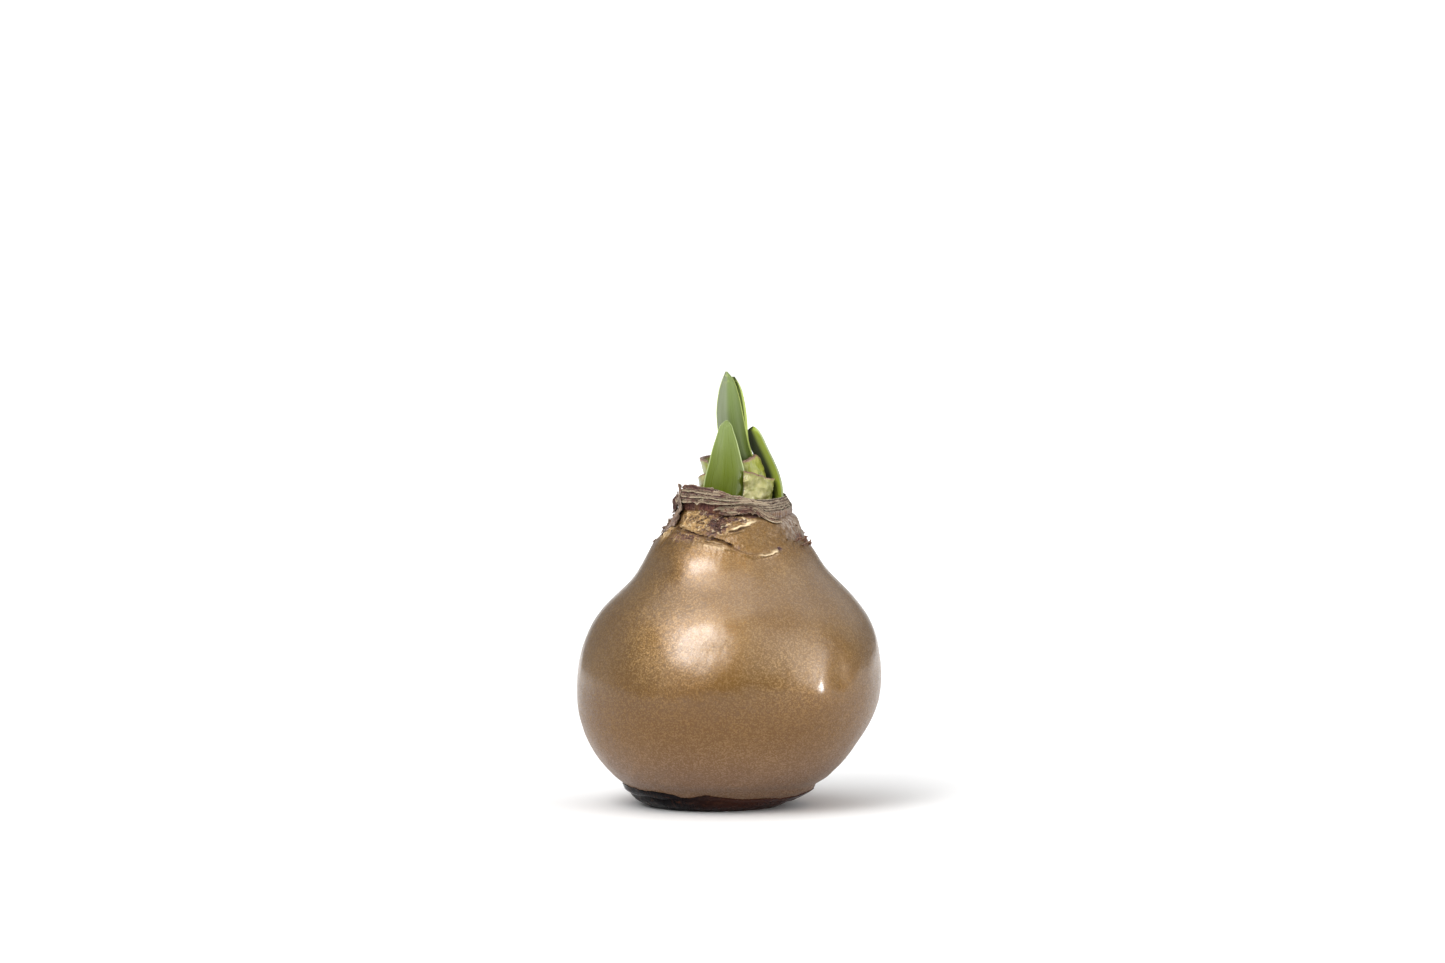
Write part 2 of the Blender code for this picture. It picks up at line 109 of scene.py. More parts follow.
# How high the dark wax has run over the coat's lower edge
SEALED_EDGE = (
    (-180, 7.0), (-159, 7.1), (-145, 6.6), (-132, 6.2), (-124, 5.6), (-119, 4.8), (-111, 5.5), (-95, 5.3),
    (-78, 4.6), (-61, 4.2), (-45, 4.1), (-29, 4.5), (-14, 5.6), (10, 4.8), (40, 4.9), (75, 5.6), (105, 5.0),
    (140, 6.2),
)
# The heights of the neck's scales, for the outermost and the innermost
OUTER_SCALE_TOP = (
    (-180, 97.0), (-150, 96.8), (-123, 96.2), (-99, 95.4), (-79, 94.2), (-62, 92.8), (-48, 92.2),
    (-30, 92.6), (-10, 93.6), (20, 95.0), (60, 96.0), (90, 95.2), (140, 96.2),
)
INNER_SCALE_TOP = (
    (-180, 99.6), (-157, 99.9), (-123, 99.6), (-99, 98.6), (-79, 97.3), (-50, 96.1), (-30, 96.4), (0, 97.2),
    (30, 98.4), (60, 98.8), (90, 98.4), (140, 98.8),
)

# The shoots: height, x and y of the ridge of each one's outer face, and half its width
LEAF_FRONT = (
    (SHOOT_BASE, -2.0, -9.4, 6.1), (98.0, -1.9, -9.5, 6.3), (103.0, -1.3, -9.5, 6.2),
    (107.3, -1.1, -9.1, 5.2), (111.0, -1.1, -8.6, 4.3), (115.0, -1.0, -7.9, 3.1), (117.3, -1.0, -7.5, 2.35),
    (119.2, -0.9, -7.2, 1.5), (120.4, -0.8, -7.0, 0.3),
)
LEAF_RIGHT = (
    (SHOOT_BASE, 15.5, 2.6, 4.6), (99.0, 15.4, 2.6, 4.6), (104.0, 14.2, 2.7, 4.8), (108.0, 12.5, 2.8, 5.0),
    (111.7, 10.7, 2.9, 5.0), (115.0, 9.2, 2.9, 4.5), (117.0, 8.2, 2.9, 3.2), (118.3, 7.6, 2.9, 0.5),
)
BRACT_FRONT = (
    (SHOOT_BASE, 6.0, -2.1, 4.2), (100.0, 5.7, -2.1, 4.3), (107.5, 3.4, -2.2, 4.4), (111.0, 2.0, -2.3, 4.5),
    (118.6, 0.5, -2.2, 4.4), (123.0, 0.0, -1.9, 4.1), (127.0, -0.2, -1.3, 3.5), (131.0, -0.3, -0.7, 2.5),
    (133.5, -0.4, -0.35, 1.5), (135.4, -0.8, 0.0, 0.3),
)
BRACT_BACK = (
    (SHOOT_BASE, 6.0, 3.9, 4.2), (100.0, 5.9, 4.2, 4.3), (107.5, 3.8, 4.6, 4.6), (114.0, 1.9, 4.6, 4.5),
    (119.0, 1.5, 4.5, 4.5), (123.0, 1.3, 4.1, 4.3), (127.3, 1.2, 3.4, 3.6), (130.4, 1.2, 2.8, 2.6),
    (132.6, 1.3, 2.3, 1.3), (133.8, 1.4, 2.0, 0.4),
)
STUMP_RIGHT_OUTER = ((SHOOT_BASE, 11.8, -5.7, 6.6), (98.0, 11.9, -5.7, 6.6), (105.0, 11.9, -5.7, 6.6))
STUMP_RIGHT_INNER = (
    (SHOOT_BASE, 8.5, -4.4, 4.8), (102.7, 8.2, -4.3, 4.8), (108.0, 6.4, -4.15, 4.8), (111.0, 5.4, -4.1, 4.8),
)
STUMP_LEFT_OUTER = (
    (SHOOT_BASE, -9.0, 2.4, 5.6), (99.0, -9.1, 2.4, 5.8), (101.6, -9.4, 2.4, 5.9), (104.0, -9.0, 2.4, 5.8),
)
STUMP_LEFT_INNER = (
    (SHOOT_BASE, -7.0, 2.6, 4.6), (101.0, -7.2, 2.6, 4.7), (104.6, -8.1, 2.6, 4.9), (109.5, -9.2, 2.6, 5.1),
)
# Where the two bracts meet: height, y
BUD_SEAM = ((SHOOT_BASE, 1.0), (110.0, 1.2), (123.0, 1.1), (135.4, 0.9))

# Points round the axis, for the coat, and for the foot and the neck's layers
COLUMNS = 512
LAYER_COLUMNS = 384
LAYERS = 11
# Where the coat's even rows start above its foot, and how far it stands off the neck's wall at the top
COAT_START = 11.0
WALL_STAND = 0.35
# Where the torn layers inside the neck start
LAYER_START = 92.2
# Mean radii that turn angles into lengths, at the neck, the shoulder and the foot
NECK_ROUND = 19.0
SHOULDER_ROUND = 28.0
FOOT_ROUND = 33.0


def spline(knots, values):
    """The natural cubic spline through some points, as a function."""
    x, y = np.asarray(knots, float), np.asarray(values, float)
    count, step = len(x), np.diff(x)
    system, target = np.eye(count), np.zeros(count)
    for i in range(1, count - 1):
        system[i, i - 1 : i + 2] = step[i - 1], 2 * (step[i - 1] + step[i]), step[i]
        target[i] = 6 * ((y[i + 1] - y[i]) / step[i] - (y[i] - y[i - 1]) / step[i - 1])
    bend = np.linalg.solve(system, target)

    def at(query):
        query = np.asarray(query, float)
        i = np.clip(np.searchsorted(x, query) - 1, 0, count - 2)
        low, high, h = query - x[i], x[i + 1] - query, step[i]
        curved = (bend[i] * high**3 + bend[i + 1] * low**3) / (6 * h)
        return curved + (y[i] / h - bend[i] * h / 6) * high + (y[i + 1] / h - bend[i + 1] * h / 6) * low

    return at


def line(pairs):
    """A smooth line through pairs of values, giving the second for the first."""
    return spline(*zip(*pairs))


def around(pairs):
    """A smooth closed line through (degrees, height) pairs, as a function of the angle in radians."""
    curve = line([(angle + turn, height) for turn in (-360, 0, 360) for angle, height in pairs])
    return lambda theta: curve((np.degrees(theta) + 180.0) % 360.0 - 180.0)


def four_way(values, theta):
    """Blends values given to the right, front, left and back smoothly round the axis."""
    right, front, left, back = values
    mean = (right + front + left + back) / 4
    oval = (right + left - front - back) / 4
    across, along = (right - left) / 2, (back - front) / 2
    return mean + across * np.cos(theta) + along * np.sin(theta) + oval * np.cos(2 * theta)


PROFILE_HEIGHTS, *PROFILE_SIDES = zip(*BODY_PROFILE)
PROFILES = [spline(PROFILE_HEIGHTS, side) for side in PROFILE_SIDES]
LOWER_EDGE = around(SCALE_EDGE)
UPPER_EDGE = around(WAX_TOP_EDGE)
OUTER_TOP = around(OUTER_SCALE_TOP)
INNER_TOP = around(INNER_SCALE_TOP)
SEAL_LINE = around(SEALED_EDGE)


def turn_from(theta, degrees):
    """The angle from a direction, from -pi to pi."""
    return (theta - math.radians(degrees) + math.pi) % (2 * math.pi) - math.pi


def smooth_radius(theta, z):
    return four_way([profile(z) for profile in PROFILES], theta)


def toward(a, b, share):
    """A share of the way from one value to another."""
    return a + (b - a) * share


def away(theta, z, degrees, height, half_long, half_high, radius=NECK_ROUND):
    """How far from a spot on the surface, in its own half sizes, squared."""
    return (turn_from(theta, degrees) * radius / half_long) ** 2 + ((z - height) / half_high) ** 2


def swell(theta, z):
    """The soft dents and swellings of the body."""
    rise = np.zeros(np.broadcast(theta, z).shape)
    for degrees, height, width, lift in BODY_SWELLS:
        far = away(theta, z, degrees, height, width, width, smooth_radius(theta, z))
        rise = rise + lift * np.exp(-far)
    return rise


def smooth_noise(points, seed):
    """Soft noise from about -1 to 1 at some points, the same for the same seed."""
    draw = np.random.default_rng(seed)
    order = np.tile(draw.permutation(256), 3)
    slopes = draw.normal(size=(256, 3))
    slopes /= np.linalg.norm(slopes, axis=1)[:, None]
    cell = np.floor(points).astype(int)
    local = points - cell
    fade = local**3 * (local * (local * 6 - 15) + 10)
    total = np.zeros(points.shape[:-1])
    for corner in np.ndindex(2, 2, 2):
        place = (cell + corner) & 255
        pick = order[order[order[place[..., 0]] + place[..., 1]] + place[..., 2]]
        reach = np.sum(slopes[pick] * (local - corner), axis=-1)
        weight = np.prod(np.where(corner, fade, 1 - fade), axis=-1)
        total += weight * reach
    return total * 1.7


def layered_noise(points, octaves, seed):
    """Noise with finer and finer detail."""
    return sum(smooth_noise(points * 2.0**k, seed + k) / 2.0**k for k in range(octaves))


def creases(points, octaves, seed):
    """Noise with sharp crests, like crumpled foil, from 0 to about 1."""
    total, weight = 0.0, 0.0
    for k in range(octaves):
        total = total + (1 - np.abs(smooth_noise(points * 2.0**k, seed + k))) ** 3 / 1.8**k
        weight += 1 / 1.8**k
    return total / weight


def ramp(x, low, high):
    """Rises smoothly from 0 to 1 between two values."""
    t = np.clip((x - low) / (high - low), 0.0, 1.0)
    return t * t * (3 - 2 * t)


def between(theta, start, end, soft):
    """1 for the directions between two angles in degrees, going round from start to end, and 0 outside."""
    middle, half = (start + end) / 2, (end - start) / 2
    return 1 - ramp(np.abs(np.degrees(turn_from(theta, middle))), half - soft, half + soft)


def near_line(theta, z, points):
    """How far from a line of (degrees, height) points on the neck, and the share along it."""
    shape = np.broadcast(theta, z).shape
    best, along = np.full(shape, 1e3), np.zeros(shape)
    sides = [(math.radians(b[0] - a[0]) * NECK_ROUND, b[1] - a[1]) for a, b in zip(points, points[1:])]
    lengths = [math.hypot(*side) for side in sides]
    start = 0.0
    for a, (across, up), length in zip(points, sides, lengths):
        x, y = turn_from(theta, a[0]) * NECK_ROUND, z - a[1]
        share = np.clip((x * across + y * up) / length**2, 0.0, 1.0)
        distance = np.hypot(x - share * across, y - share * up)
        closer = distance < best
        best = np.where(closer, distance, best)
        along = np.where(closer, (start + share * length) / sum(lengths), along)
        start += length
    return best, along


def ring_points(radius, theta, z):
    radius, theta, z = np.broadcast_arrays(radius, theta, z)
    return np.stack([radius * np.cos(theta), radius * np.sin(theta), z], axis=-1)


def round_noise(theta, turns, seed, height=0.0, rise=0.0):
    """Noise round the axis, which closes; more turns make it finer."""
    return smooth_noise(ring_points(turns, theta, seed * 3.71 + height * rise), seed)


def full_turn(columns):
    """The directions of a grid's columns, all round the axis."""
    return np.linspace(-math.pi, math.pi, columns, endpoint=False)[None, :]


def steps(rows, start=0.0, end=1.0):
    """Even steps for a grid's rows."""
    return np.linspace(start, end, rows)[:, None]


def rings(theta, *parts):
    """Joins rings, given as radii and heights, to one radius and one height for each point."""
    parts = [np.broadcast_arrays(radius, z, theta)[:2] for radius, z in parts]
    return [np.concatenate(column) for column in zip(*parts)]


def grid_faces(rows, columns, wrap, flip=False, start=0):
    """The quads of a grid of points, in rows, closed round if wrap is set."""
    i, j = np.meshgrid(np.arange(rows - 1), np.arange(columns if wrap else columns - 1), indexing="ij")
    k = (j + 1) % columns
    low, high = i * columns, (i + 1) * columns
    quads = np.stack([low + j, low + k, high + k, high + j], axis=-1).reshape(-1, 4) + start
    return quads[:, ::-1] if flip else quads


def add(name, data):
    """Adds an object to the scene."""
    made = bpy.data.objects.new(name, data)
    bpy.context.scene.collection.objects.link(made)
    return made


class Shape:
    """Points, faces and values at the points, gathered for one object."""

    def __init__(self):
        self.points, self.quads, self.triangles, self.values, self.count = [], [], [], {}, 0

    def add(self, points, quads=(), triangles=(), **values):
        points = np.asarray(points, float).reshape(-1, 3)
        if len(quads):
            self.quads.append(np.asarray(quads) + self.count)
        if len(triangles):
            self.triangles.append(np.asarray(triangles) + self.count)
        self.points.append(points)
        for name in set(self.values) | set(values):
            column = values.get(name, 0.0)
            known = self.values.setdefault(name, [np.zeros(self.count)] if self.count else [])
            known.append(np.broadcast_to(np.asarray(column, float).reshape(-1), (len(points),)).copy())
        self.count += len(points)

    def make(self, name, material, slot, replaced, sharp=None):
        """Makes the object, in metres, riding on the part's one body."""
        points = np.concatenate(self.points) * MM
        quads = np.concatenate(self.quads) if self.quads else np.zeros((0, 4), int)
        triangles = np.concatenate(self.triangles) if self.triangles else np.zeros((0, 3), int)
        mesh = bpy.data.meshes.new(name)
        mesh.vertices.add(len(points))
        mesh.vertices.foreach_set("co", points.ravel())
        corners = np.concatenate([quads.ravel(), triangles.ravel()]).astype(np.int32)
        sizes = np.concatenate([np.full(len(quads), 4), np.full(len(triangles), 3)])
        starts = np.concatenate([[0], np.cumsum(sizes)[:-1]]).astype(np.int32)
        mesh.loops.add(len(corners))
        mesh.loops.foreach_set("vertex_index", corners)
        mesh.polygons.add(len(sizes))
        mesh.polygons.foreach_set("loop_start", starts)
        mesh.update(calc_edges=True)
        mesh.validate()
        for key, column in self.values.items():
            attribute = mesh.attributes.new(key, "FLOAT", "POINT")
            attribute.data.foreach_set("value", np.concatenate(column).astype(np.float32))
        mesh.shade_smooth()
        if sharp:
            mesh.set_sharp_from_angle(angle=math.radians(sharp))
        mesh.materials.append(material)
        made = add(name, mesh)
        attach(made, "root")
        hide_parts(*replaced)


def shell(shape, outer, inner, wrap=False, **values):
    """Adds a thin piece from two grids of points, its outer and its inner face, with closed edges."""
    rows, columns = outer.shape[:2]
    back = rows * columns
    quads = [grid_faces(rows, columns, wrap), grid_faces(rows, columns, wrap, flip=True, start=back)]
    grid = np.arange(back).reshape(rows, columns)
    if wrap:
        low, top = grid[0], grid[-1]
        after_low, after_top = np.roll(low, -1), np.roll(top, -1)
        quads.append(np.stack([low, back + low, back + after_low, after_low], axis=-1))
        quads.append(np.stack([top, after_top, back + after_top, back + top], axis=-1))
    else:
        rim = np.concatenate([grid[:0:-1, 0], grid[0, :-1], grid[:-1, -1], grid[-1, :0:-1]])
        after = np.roll(rim, -1)
        quads.append(np.stack([rim, back + rim, back + after, after], axis=-1))
    doubled = {"back": np.repeat([0.0, 1.0], back)}
    for key, column in values.items():
        column = np.broadcast_to(np.asarray(column, float), (rows, columns)).reshape(-1)
        doubled[key] = np.concatenate([column, column])
    shape.add(np.concatenate([outer.reshape(-1, 3), inner.reshape(-1, 3)]), np.concatenate(quads), **doubled)


def sheet(shape, points, thickness, wrap=False, **values):
    """Adds a thin sheet: its outer face is the grid of points, seen from outside."""
    if wrap:
        sideways = np.roll(points, -1, axis=1) - np.roll(points, 1, axis=1)
    else:
        sideways = np.gradient(points, axis=1)
    normal = np.cross(sideways, np.gradient(points, axis=0))
    normal /= np.maximum(np.linalg.norm(normal, axis=-1, keepdims=True), 1e-9)
    thickness = np.broadcast_to(np.asarray(thickness, float), points.shape[:2])[..., None]
    shell(shape, points, points - normal * thickness, wrap, **values)


def tube(shape, points, **values):
    """Adds a closed body made of rings of points, with a fan of faces at each end."""
    rows, columns = points.shape[:2]
    low, high = rows * columns, rows * columns + 1
    edge = np.arange(columns)
    after = np.roll(edge, -1)
    top = (rows - 1) * columns
    triangles = np.concatenate([
        np.stack([np.full(columns, low), after, edge], axis=-1),
        np.stack([np.full(columns, high), top + edge, top + after], axis=-1),
    ])
    full = {}
    for key, column in values.items():
        column = np.broadcast_to(np.asarray(column, float), (rows, columns))
        full[key] = np.concatenate([column.reshape(-1), [column[0].mean()], [column[-1].mean()]])
    points = np.concatenate([points.reshape(-1, 3), [points[0].mean(axis=0)], [points[-1].mean(axis=0)]])
    shape.add(points, grid_faces(rows, columns, True), triangles, **full)


class Nodes:
    """A tree of shading nodes, with short names for those used here. Plain values may stand for outputs."""

    def __init__(self, tree):
        self.tree = tree

    def node(self, kind, inputs=None, **settings):
        made = self.tree.nodes.new(kind)
        for key, value in settings.items():
            setattr(made, key, value)
        for key, value in (inputs or {}).items():
            self.link(value, made.inputs[key])
        return made

    def link(self, value, socket):
        if isinstance(value, bpy.types.NodeSocket):
            self.tree.links.new(value, socket)
        else:
            socket.default_value = (*value, 1.0) if socket.type == "RGBA" else value

    def vector(self, operation, a, b=None, scale=None):
        inputs = {key: value for key, value in ((0, a), (1, b), ("Scale", scale)) if value is not None}
        return self.node("ShaderNodeVectorMath", inputs, operation=operation).outputs[0]

    def math(self, operation, a, b=0.5, clamp=False):
        return self.node("ShaderNodeMath", {0: a, 1: b}, operation=operation, use_clamp=clamp).outputs[0]

    def plus(self, a, b):
        return self.math("ADD", a, b)

    def times(self, a, b):
        return self.math("MULTIPLY", a, b)

    def span(self, value, low, high, new_low=0.0, new_high=1.0):
        """Turns a range of values into another, with soft ends."""
        inputs = {"Value": value, "From Min": low, "From Max": high, "To Min": new_low, "To Max": new_high}
        return self.node("ShaderNodeMapRange", inputs, interpolation_type="SMOOTHSTEP").outputs[0]

    def blend(self, factor, a, b):
        """A number between two, by a factor."""
        return self.node("ShaderNodeMix", {0: factor, 2: a, 3: b}, data_type="FLOAT").outputs[0]

    def mix(self, factor, a, b, blend="MIX"):
        """A colour between two, by a factor."""
        inputs = {0: factor, 6: a, 7: b}
        return self.node("ShaderNodeMix", inputs, data_type="RGBA", blend_type=blend).outputs[2]

    def cover(self, colour, *layers):
        """A colour with others laid over it in turn, each with its own mask."""
        for mask, over in layers:
            colour = self.mix(mask, colour, over)
        return colour

    def scaled(self, colour, shares):
        """A colour with its red, green and blue each multiplied."""
        by = self.node("ShaderNodeCombineColor", dict(enumerate(shares))).outputs[0]
        return self.mix(1.0, colour, by, "MULTIPLY")


class Paint(Nodes):
    """A material. Its patterns are laid out by the place on the object, in millimetres."""

    def __init__(self, name, **sockets):
        self.material = bpy.data.materials.new(name)
        self.material.use_nodes = True
        super().__init__(self.material.node_tree)
        self.shader = self.tree.nodes["Principled BSDF"]
        self.place = self.vector("SCALE", self.node("ShaderNodeTexCoord").outputs["Object"], scale=1 / MM)
        self.shine(**sockets)

    def shine(self, **sockets):
        """Sets or links the shader's sockets, and returns the material."""
        for key, value in sockets.items():
            self.link(value, self.shader.inputs[key.replace("_", " ")])
        return self.material

    def axes(self):
        """The place's x, y and z."""
        return self.node("ShaderNodeSeparateXYZ", {0: self.place}).outputs

    def point(self, *parts):
        """A place made of an x, a y and a z."""
        return self.node("ShaderNodeCombineXYZ", dict(enumerate(parts))).outputs[0]

    def value(self, name):
        """A value kept at the points of the mesh."""
        return self.node("ShaderNodeAttribute", attribute_name=name).outputs["Fac"]

    def noise(self, scale, detail=3.0, stretch=None, place=None, roughness=0.5):
        place = self.place if place is None else place
        if stretch:
            place = self.vector("MULTIPLY", place, stretch)
        inputs = {"Vector": place, "Scale": scale, "Detail": detail, "Roughness": roughness}
        return self.node("ShaderNodeTexNoise", inputs).outputs[0]

    def cells(self, scale):
        """Random values in small cells, as a colour."""
        return self.node("ShaderNodeTexVoronoi", {"Vector": self.place, "Scale": scale}).outputs["Color"]

    def bump(self, height, distance, normal=None):
        """A bump of some height in millimetres."""
        inputs = {"Height": height, "Strength": 1.0, "Distance": distance * MM}
        if normal is not None:
            inputs["Normal"] = normal
        return self.node("ShaderNodeBump", inputs).outputs[0]


# How far the flakes darken and brighten the gold's red, green and blue
GRAIN = ((0.86, 1.32), (0.85, 1.48), (0.8, 1.85))


def gold_wax():
    """Metal flakes under a clear skin: browner in a low belt of painted shade, paler and greyer at the foot
    as a painted reflection of the floor, dull near the neck, dark in its cracks, with painted light on its
    crumpled foil and painted highlights on its crests.
    """
    p = Paint("gold_wax", Coat_Roughness=0.20, Coat_IOR=1.72, Specular_IOR_Level=0.1)
    height = p.axes()[2]
    coarse, fine = p.cells(2.8), p.cells(4.8)
    bright, glint = p.node("ShaderNodeSeparateColor", {0: coarse}).outputs[:2]
    cloud = p.span(p.noise(0.055, 4.0), 0.3, 0.7)
    # Paler and greyer towards the foot: a painted reflection of the pale floor.
    foot = p.times(p.span(height, 37.0, 8.0), 0.6)
    # A darker, browner belt round the lower body: painted shade.
    shade_belt = p.times(p.span(height, 46.0, 34.0), p.span(height, 12.0, 30.0, 0.0, 0.7))
    neck = p.span(height, 80.5, 83.0, 0.0, 0.5)
    gold = p.cover(
        p.mix(cloud, (0.203, 0.104, 0.030), (0.235, 0.126, 0.038)),
        (foot, (0.196, 0.107, 0.066)),
        (shade_belt, (0.150, 0.064, 0.010)),
        (neck, (0.162, 0.082, 0.019)),
    )
    gold = p.scaled(gold, [p.span(bright, 0.35, 1.0, low, high) for low, high in GRAIN])
    # Where it is thin the skin shows, and where it is filmed there is a pale streaked veil: partly a dull
    # bloom on the wax, partly a painted reflection where the coat turns away at its edges.
    speck = p.noise(1.1, 5.0, roughness=0.72)
    thin = p.span(p.plus(p.value("thin"), p.times(p.plus(speck, -0.5), 1.9)), 0.32, 0.68)
    skin = p.mix(p.span(p.noise(0.7, 4.0), 0.38, 0.62), (0.060, 0.020, 0.018), (0.165, 0.075, 0.042))
    drawn = p.noise(0.9, 4.0, stretch=(1.3, 1.3, 0.24), roughness=0.6)
    veil_and_sheen = p.mix(p.span(drawn, 0.36, 0.62), (0.200, 0.130, 0.095), (0.52, 0.46, 0.41))
    crinkle, crack = p.value("crinkle"), p.value("crack")
    base = p.cover(
        gold,
        (p.times(p.value("film"), p.span(speck, 0.3, 0.7, 0.55, 0.95)), veil_and_sheen),
        # The crumpled foil is painted a lighter gold: painted light, for the light it catches.
        (p.span(crinkle, 0.3, 0.9, 0.0, 0.85), (0.60, 0.39, 0.17)),
        (thin, skin),
        # A painted highlight on the crests of the foil and along the ridges.
        (p.times(p.value("crest"), 0.9), (0.85, 0.68, 0.43)),
        # Dark in the cracks, with painted shade in the fold valleys and the pit.
        (crack, (0.040, 0.014, 0.016)),
    )
    metal = p.math("SUBTRACT", p.blend(thin, 0.78, 0.12), p.times(crack, 0.8), clamp=True)
    # Each flake is tilted its own way, and the clear skin over them is smooth
    normal = p.node("ShaderNodeNewGeometry").outputs["Normal"]
    tilts = [
        p.vector("SCALE", p.vector("SUBTRACT", cells, (0.5, 0.5, 0.5)), scale=far)
        for cells, far in ((coarse, 0.2), (fine, 0.22))
    ]
    flakes = p.vector("NORMALIZE", p.vector("ADD", normal, p.vector("ADD", *tilts)))
    wrinkle = p.times(p.noise(1.1, 4.0, roughness=0.65), crinkle)
    smooth = p.bump(p.noise(0.35, 2.0), 0.05)
    dulled = p.blend(p.span(height, 75.5, 81.0), 1.0, p.span(drawn, 0.32, 0.68, 0.30, 0.70))
    clear = p.times(p.span(height, 20.0, 52.0, 0.42, 1.0), dulled)
    return p.shine(Base_Color=base, Metallic=metal, Roughness=0.5, Normal=p.bump(wrinkle, 0.9, flakes),
                   Coat_Normal=p.bump(wrinkle, 0.9, smooth),
                   Coat_Weight=p.times(clear, p.span(glint, 0.2, 0.9, 0.72, 1.0)))


def line_depth(theta, z, points, width, taper=0.18):
    """1 on a line on the neck, fading beside it and at its ends."""
    distance, along = near_line(theta, z, points)
    ends = ramp(along, 0.0, taper) * ramp(1 - along, 0.0, taper)
    return np.exp(-((distance / width) ** 2)) * ends


# The cracks and ridges of the neck: their points as angle and height, half width, and depth or rise
CRACKS = (
    (((-153, 87.4), (-146, 87.3), (-135, 86.6), (-123, 85.8), (-112, 84.9), (-107, 84.4)), 0.22, 0.5),
    (((-107, 84.9), (-97, 83.8), (-91, 82.9), (-86, 82.0)), 0.30, 0.8),
    (((-111, 84.2), (-105, 85.6), (-97.6, 86.9), (-91, 88.2)), 0.26, 0.35),
    (((-122, 88.9), (-113, 90.4), (-108, 92.2)), 0.3, 0.4),
    (((-104, 86.9), (-99, 88.6), (-97, 91.0)), 0.32, 0.5),
    (((-131, 89.9), (-122, 91.2), (-118, 92.6)), 0.26, 0.3),
    (((-92, 86.1), (-85, 86.5), (-79, 87.6), (-74, 88.3)), 0.22, 0.3),
    (((-160, 90.6), (-163, 88.2), (-160, 86.0)), 0.3, 0.4),
    (((-172, 85.0), (-165, 84.4), (-158, 83.2)), 0.3, 0.35),
    (((8, 88.6), (17, 86.8), (29, 86.0)), 0.34, 0.5),
    (((47, 87.4), (60, 85.2), (70, 84.9)), 0.3, 0.45),
    (((83, 86.6), (90, 84.4), (103, 83.6)), 0.36, 0.6),
    (((118, 88.4), (126, 86.0), (140, 85.9)), 0.3, 0.45),
    (((150, 90.2), (158, 88.0), (170, 87.8)), 0.32, 0.5),
)
RIDGES = (
    (((-124, 82.0), (-116, 82.8), (-108, 82.6), (-100, 82.0), (-91, 81.4), (-84, 80.8)), 0.5, 0.5),
    (((-93, 86.6), (-88, 87.2), (-82, 88.0), (-76, 88.6), (-68, 89.6), (-62, 90.4)), 0.5, 0.7),
    (((-92, 85.6), (-86, 86.0), (-80, 86.8), (-74, 87.8)), 0.4, 0.45),
    (((-112, 84.1), (-104, 83.6), (-97, 83.0), (-91, 82.3)), 0.5, 0.45),
    (((-73, 79.6), (-66, 79.4), (-60, 80.0), (-55, 80.8), (-50.5, 81.6)), 0.42, 0.9),
    (((-84, 80.6), (-78, 79.9), (-70, 79.4)), 0.4, 0.35),
    (((-172, 88.6), (-167, 86.2), (-172, 83.0), (-177, 80.5)), 0.5, 0.5),
    (((-166, 87.2), (-160, 85.0), (-163, 82.6)), 0.4, 0.35),
    (((0, 86.2), (12, 84.9), (24, 85.6)), 0.5, 0.4),
    (((62, 83.2), (76, 82.2), (88, 82.4)), 0.5, 0.45),
    (((110, 82.0), (124, 83.4), (136, 84.0)), 0.5, 0.4),
    (((160, 86.0), (172, 87.2), (182, 86.4)), 0.5, 0.4),
)
# Where the wax is thin and shows the skin, is crumpled, or has a pale streaked film, which is partly a dull
# bloom and partly a painted reflection: angle, height, half sizes along and up, and share
THIN_PATCHES = (
    (-100, 88.6, 3.4, 3.2, 0.95), (-131, 84.6, 8.0, 1.8, 0.62), (-150, 89.5, 3.0, 2.8, 0.4),
    (-109, 92.0, 6.0, 1.0, 0.8), (-84, 90.0, 5.0, 1.1, 0.7), (-71, 91.0, 3.6, 0.7, 0.7),
    (-105, 85.8, 3.0, 1.0, 0.6), (-124, 89.4, 5.0, 2.4, 0.42), (-113, 87.3, 3.0, 1.6, 0.5),
    # The patch at -52 degrees lies on the pit and paints shade in it.
    (-84, 81.6, 1.6, 0.7, 0.5), (-140, 93.0, 6.0, 0.8, 0.6), (-52, 81.3, 0.7, 0.55, 1.3),
    (-22, 84.4, 3.2, 1.5, 0.7), (20, 85.6, 5.0, 1.2, 0.7), (70, 86.0, 5.0, 2.6, 0.7),
    (98, 83.0, 4.0, 1.4, 0.7), (130, 87.4, 5.0, 2.4, 0.6), (166, 89.2, 5.0, 2.0, 0.7),
    (-170, 86.4, 2.4, 1.6, 0.7),
)
CRUMPLED = (
    (-122, 89.8, 9.5, 3.6, 1.0), (-98, 88.6, 3.6, 3.6, 1.0), (-128, 84.6, 8.5, 1.9, 0.7),
    (-160, 86.5, 4.5, 4.5, 0.8), (-83, 90.2, 5.5, 1.2, 0.85), (-16, 88.0, 6.5, 3.5, 0.45),
    (36, 87.6, 9.0, 3.4, 0.6), (84, 85.6, 9.0, 3.2, 0.8), (128, 87.6, 9.0, 3.2, 0.8),
    (170, 88.6, 7.0, 3.2, 0.8),
)
FILM_AND_SHEEN = (
    (-174, 84.0, 4.0, 6.0, 1.0), (-24, 88.6, 6.5, 5.0, 0.9), (-8, 86.0, 5.0, 5.0, 0.7),
    (150, 85.0, 5.0, 3.0, 0.4),
)
# Soft lumps and dents below the neck: angle, height, half sizes along and up, and rise
LUMPS = (
    (-124, 77.5, 9.2, 5.2, 1.6), (-70, 76.6, 3.6, 3.0, 0.32), (-52, 77.8, 3.4, 3.0, 0.32),
    (-61, 74.6, 2.6, 2.6, -0.2), (-85, 76.0, 3.0, 4.0, -0.2), (20, 77.0, 6.0, 4.0, 0.35),
    (75, 78.0, 5.0, 4.0, -0.25), (120, 76.0, 6.0, 4.0, 0.35), (165, 78.0, 5.0, 4.0, -0.2),
)
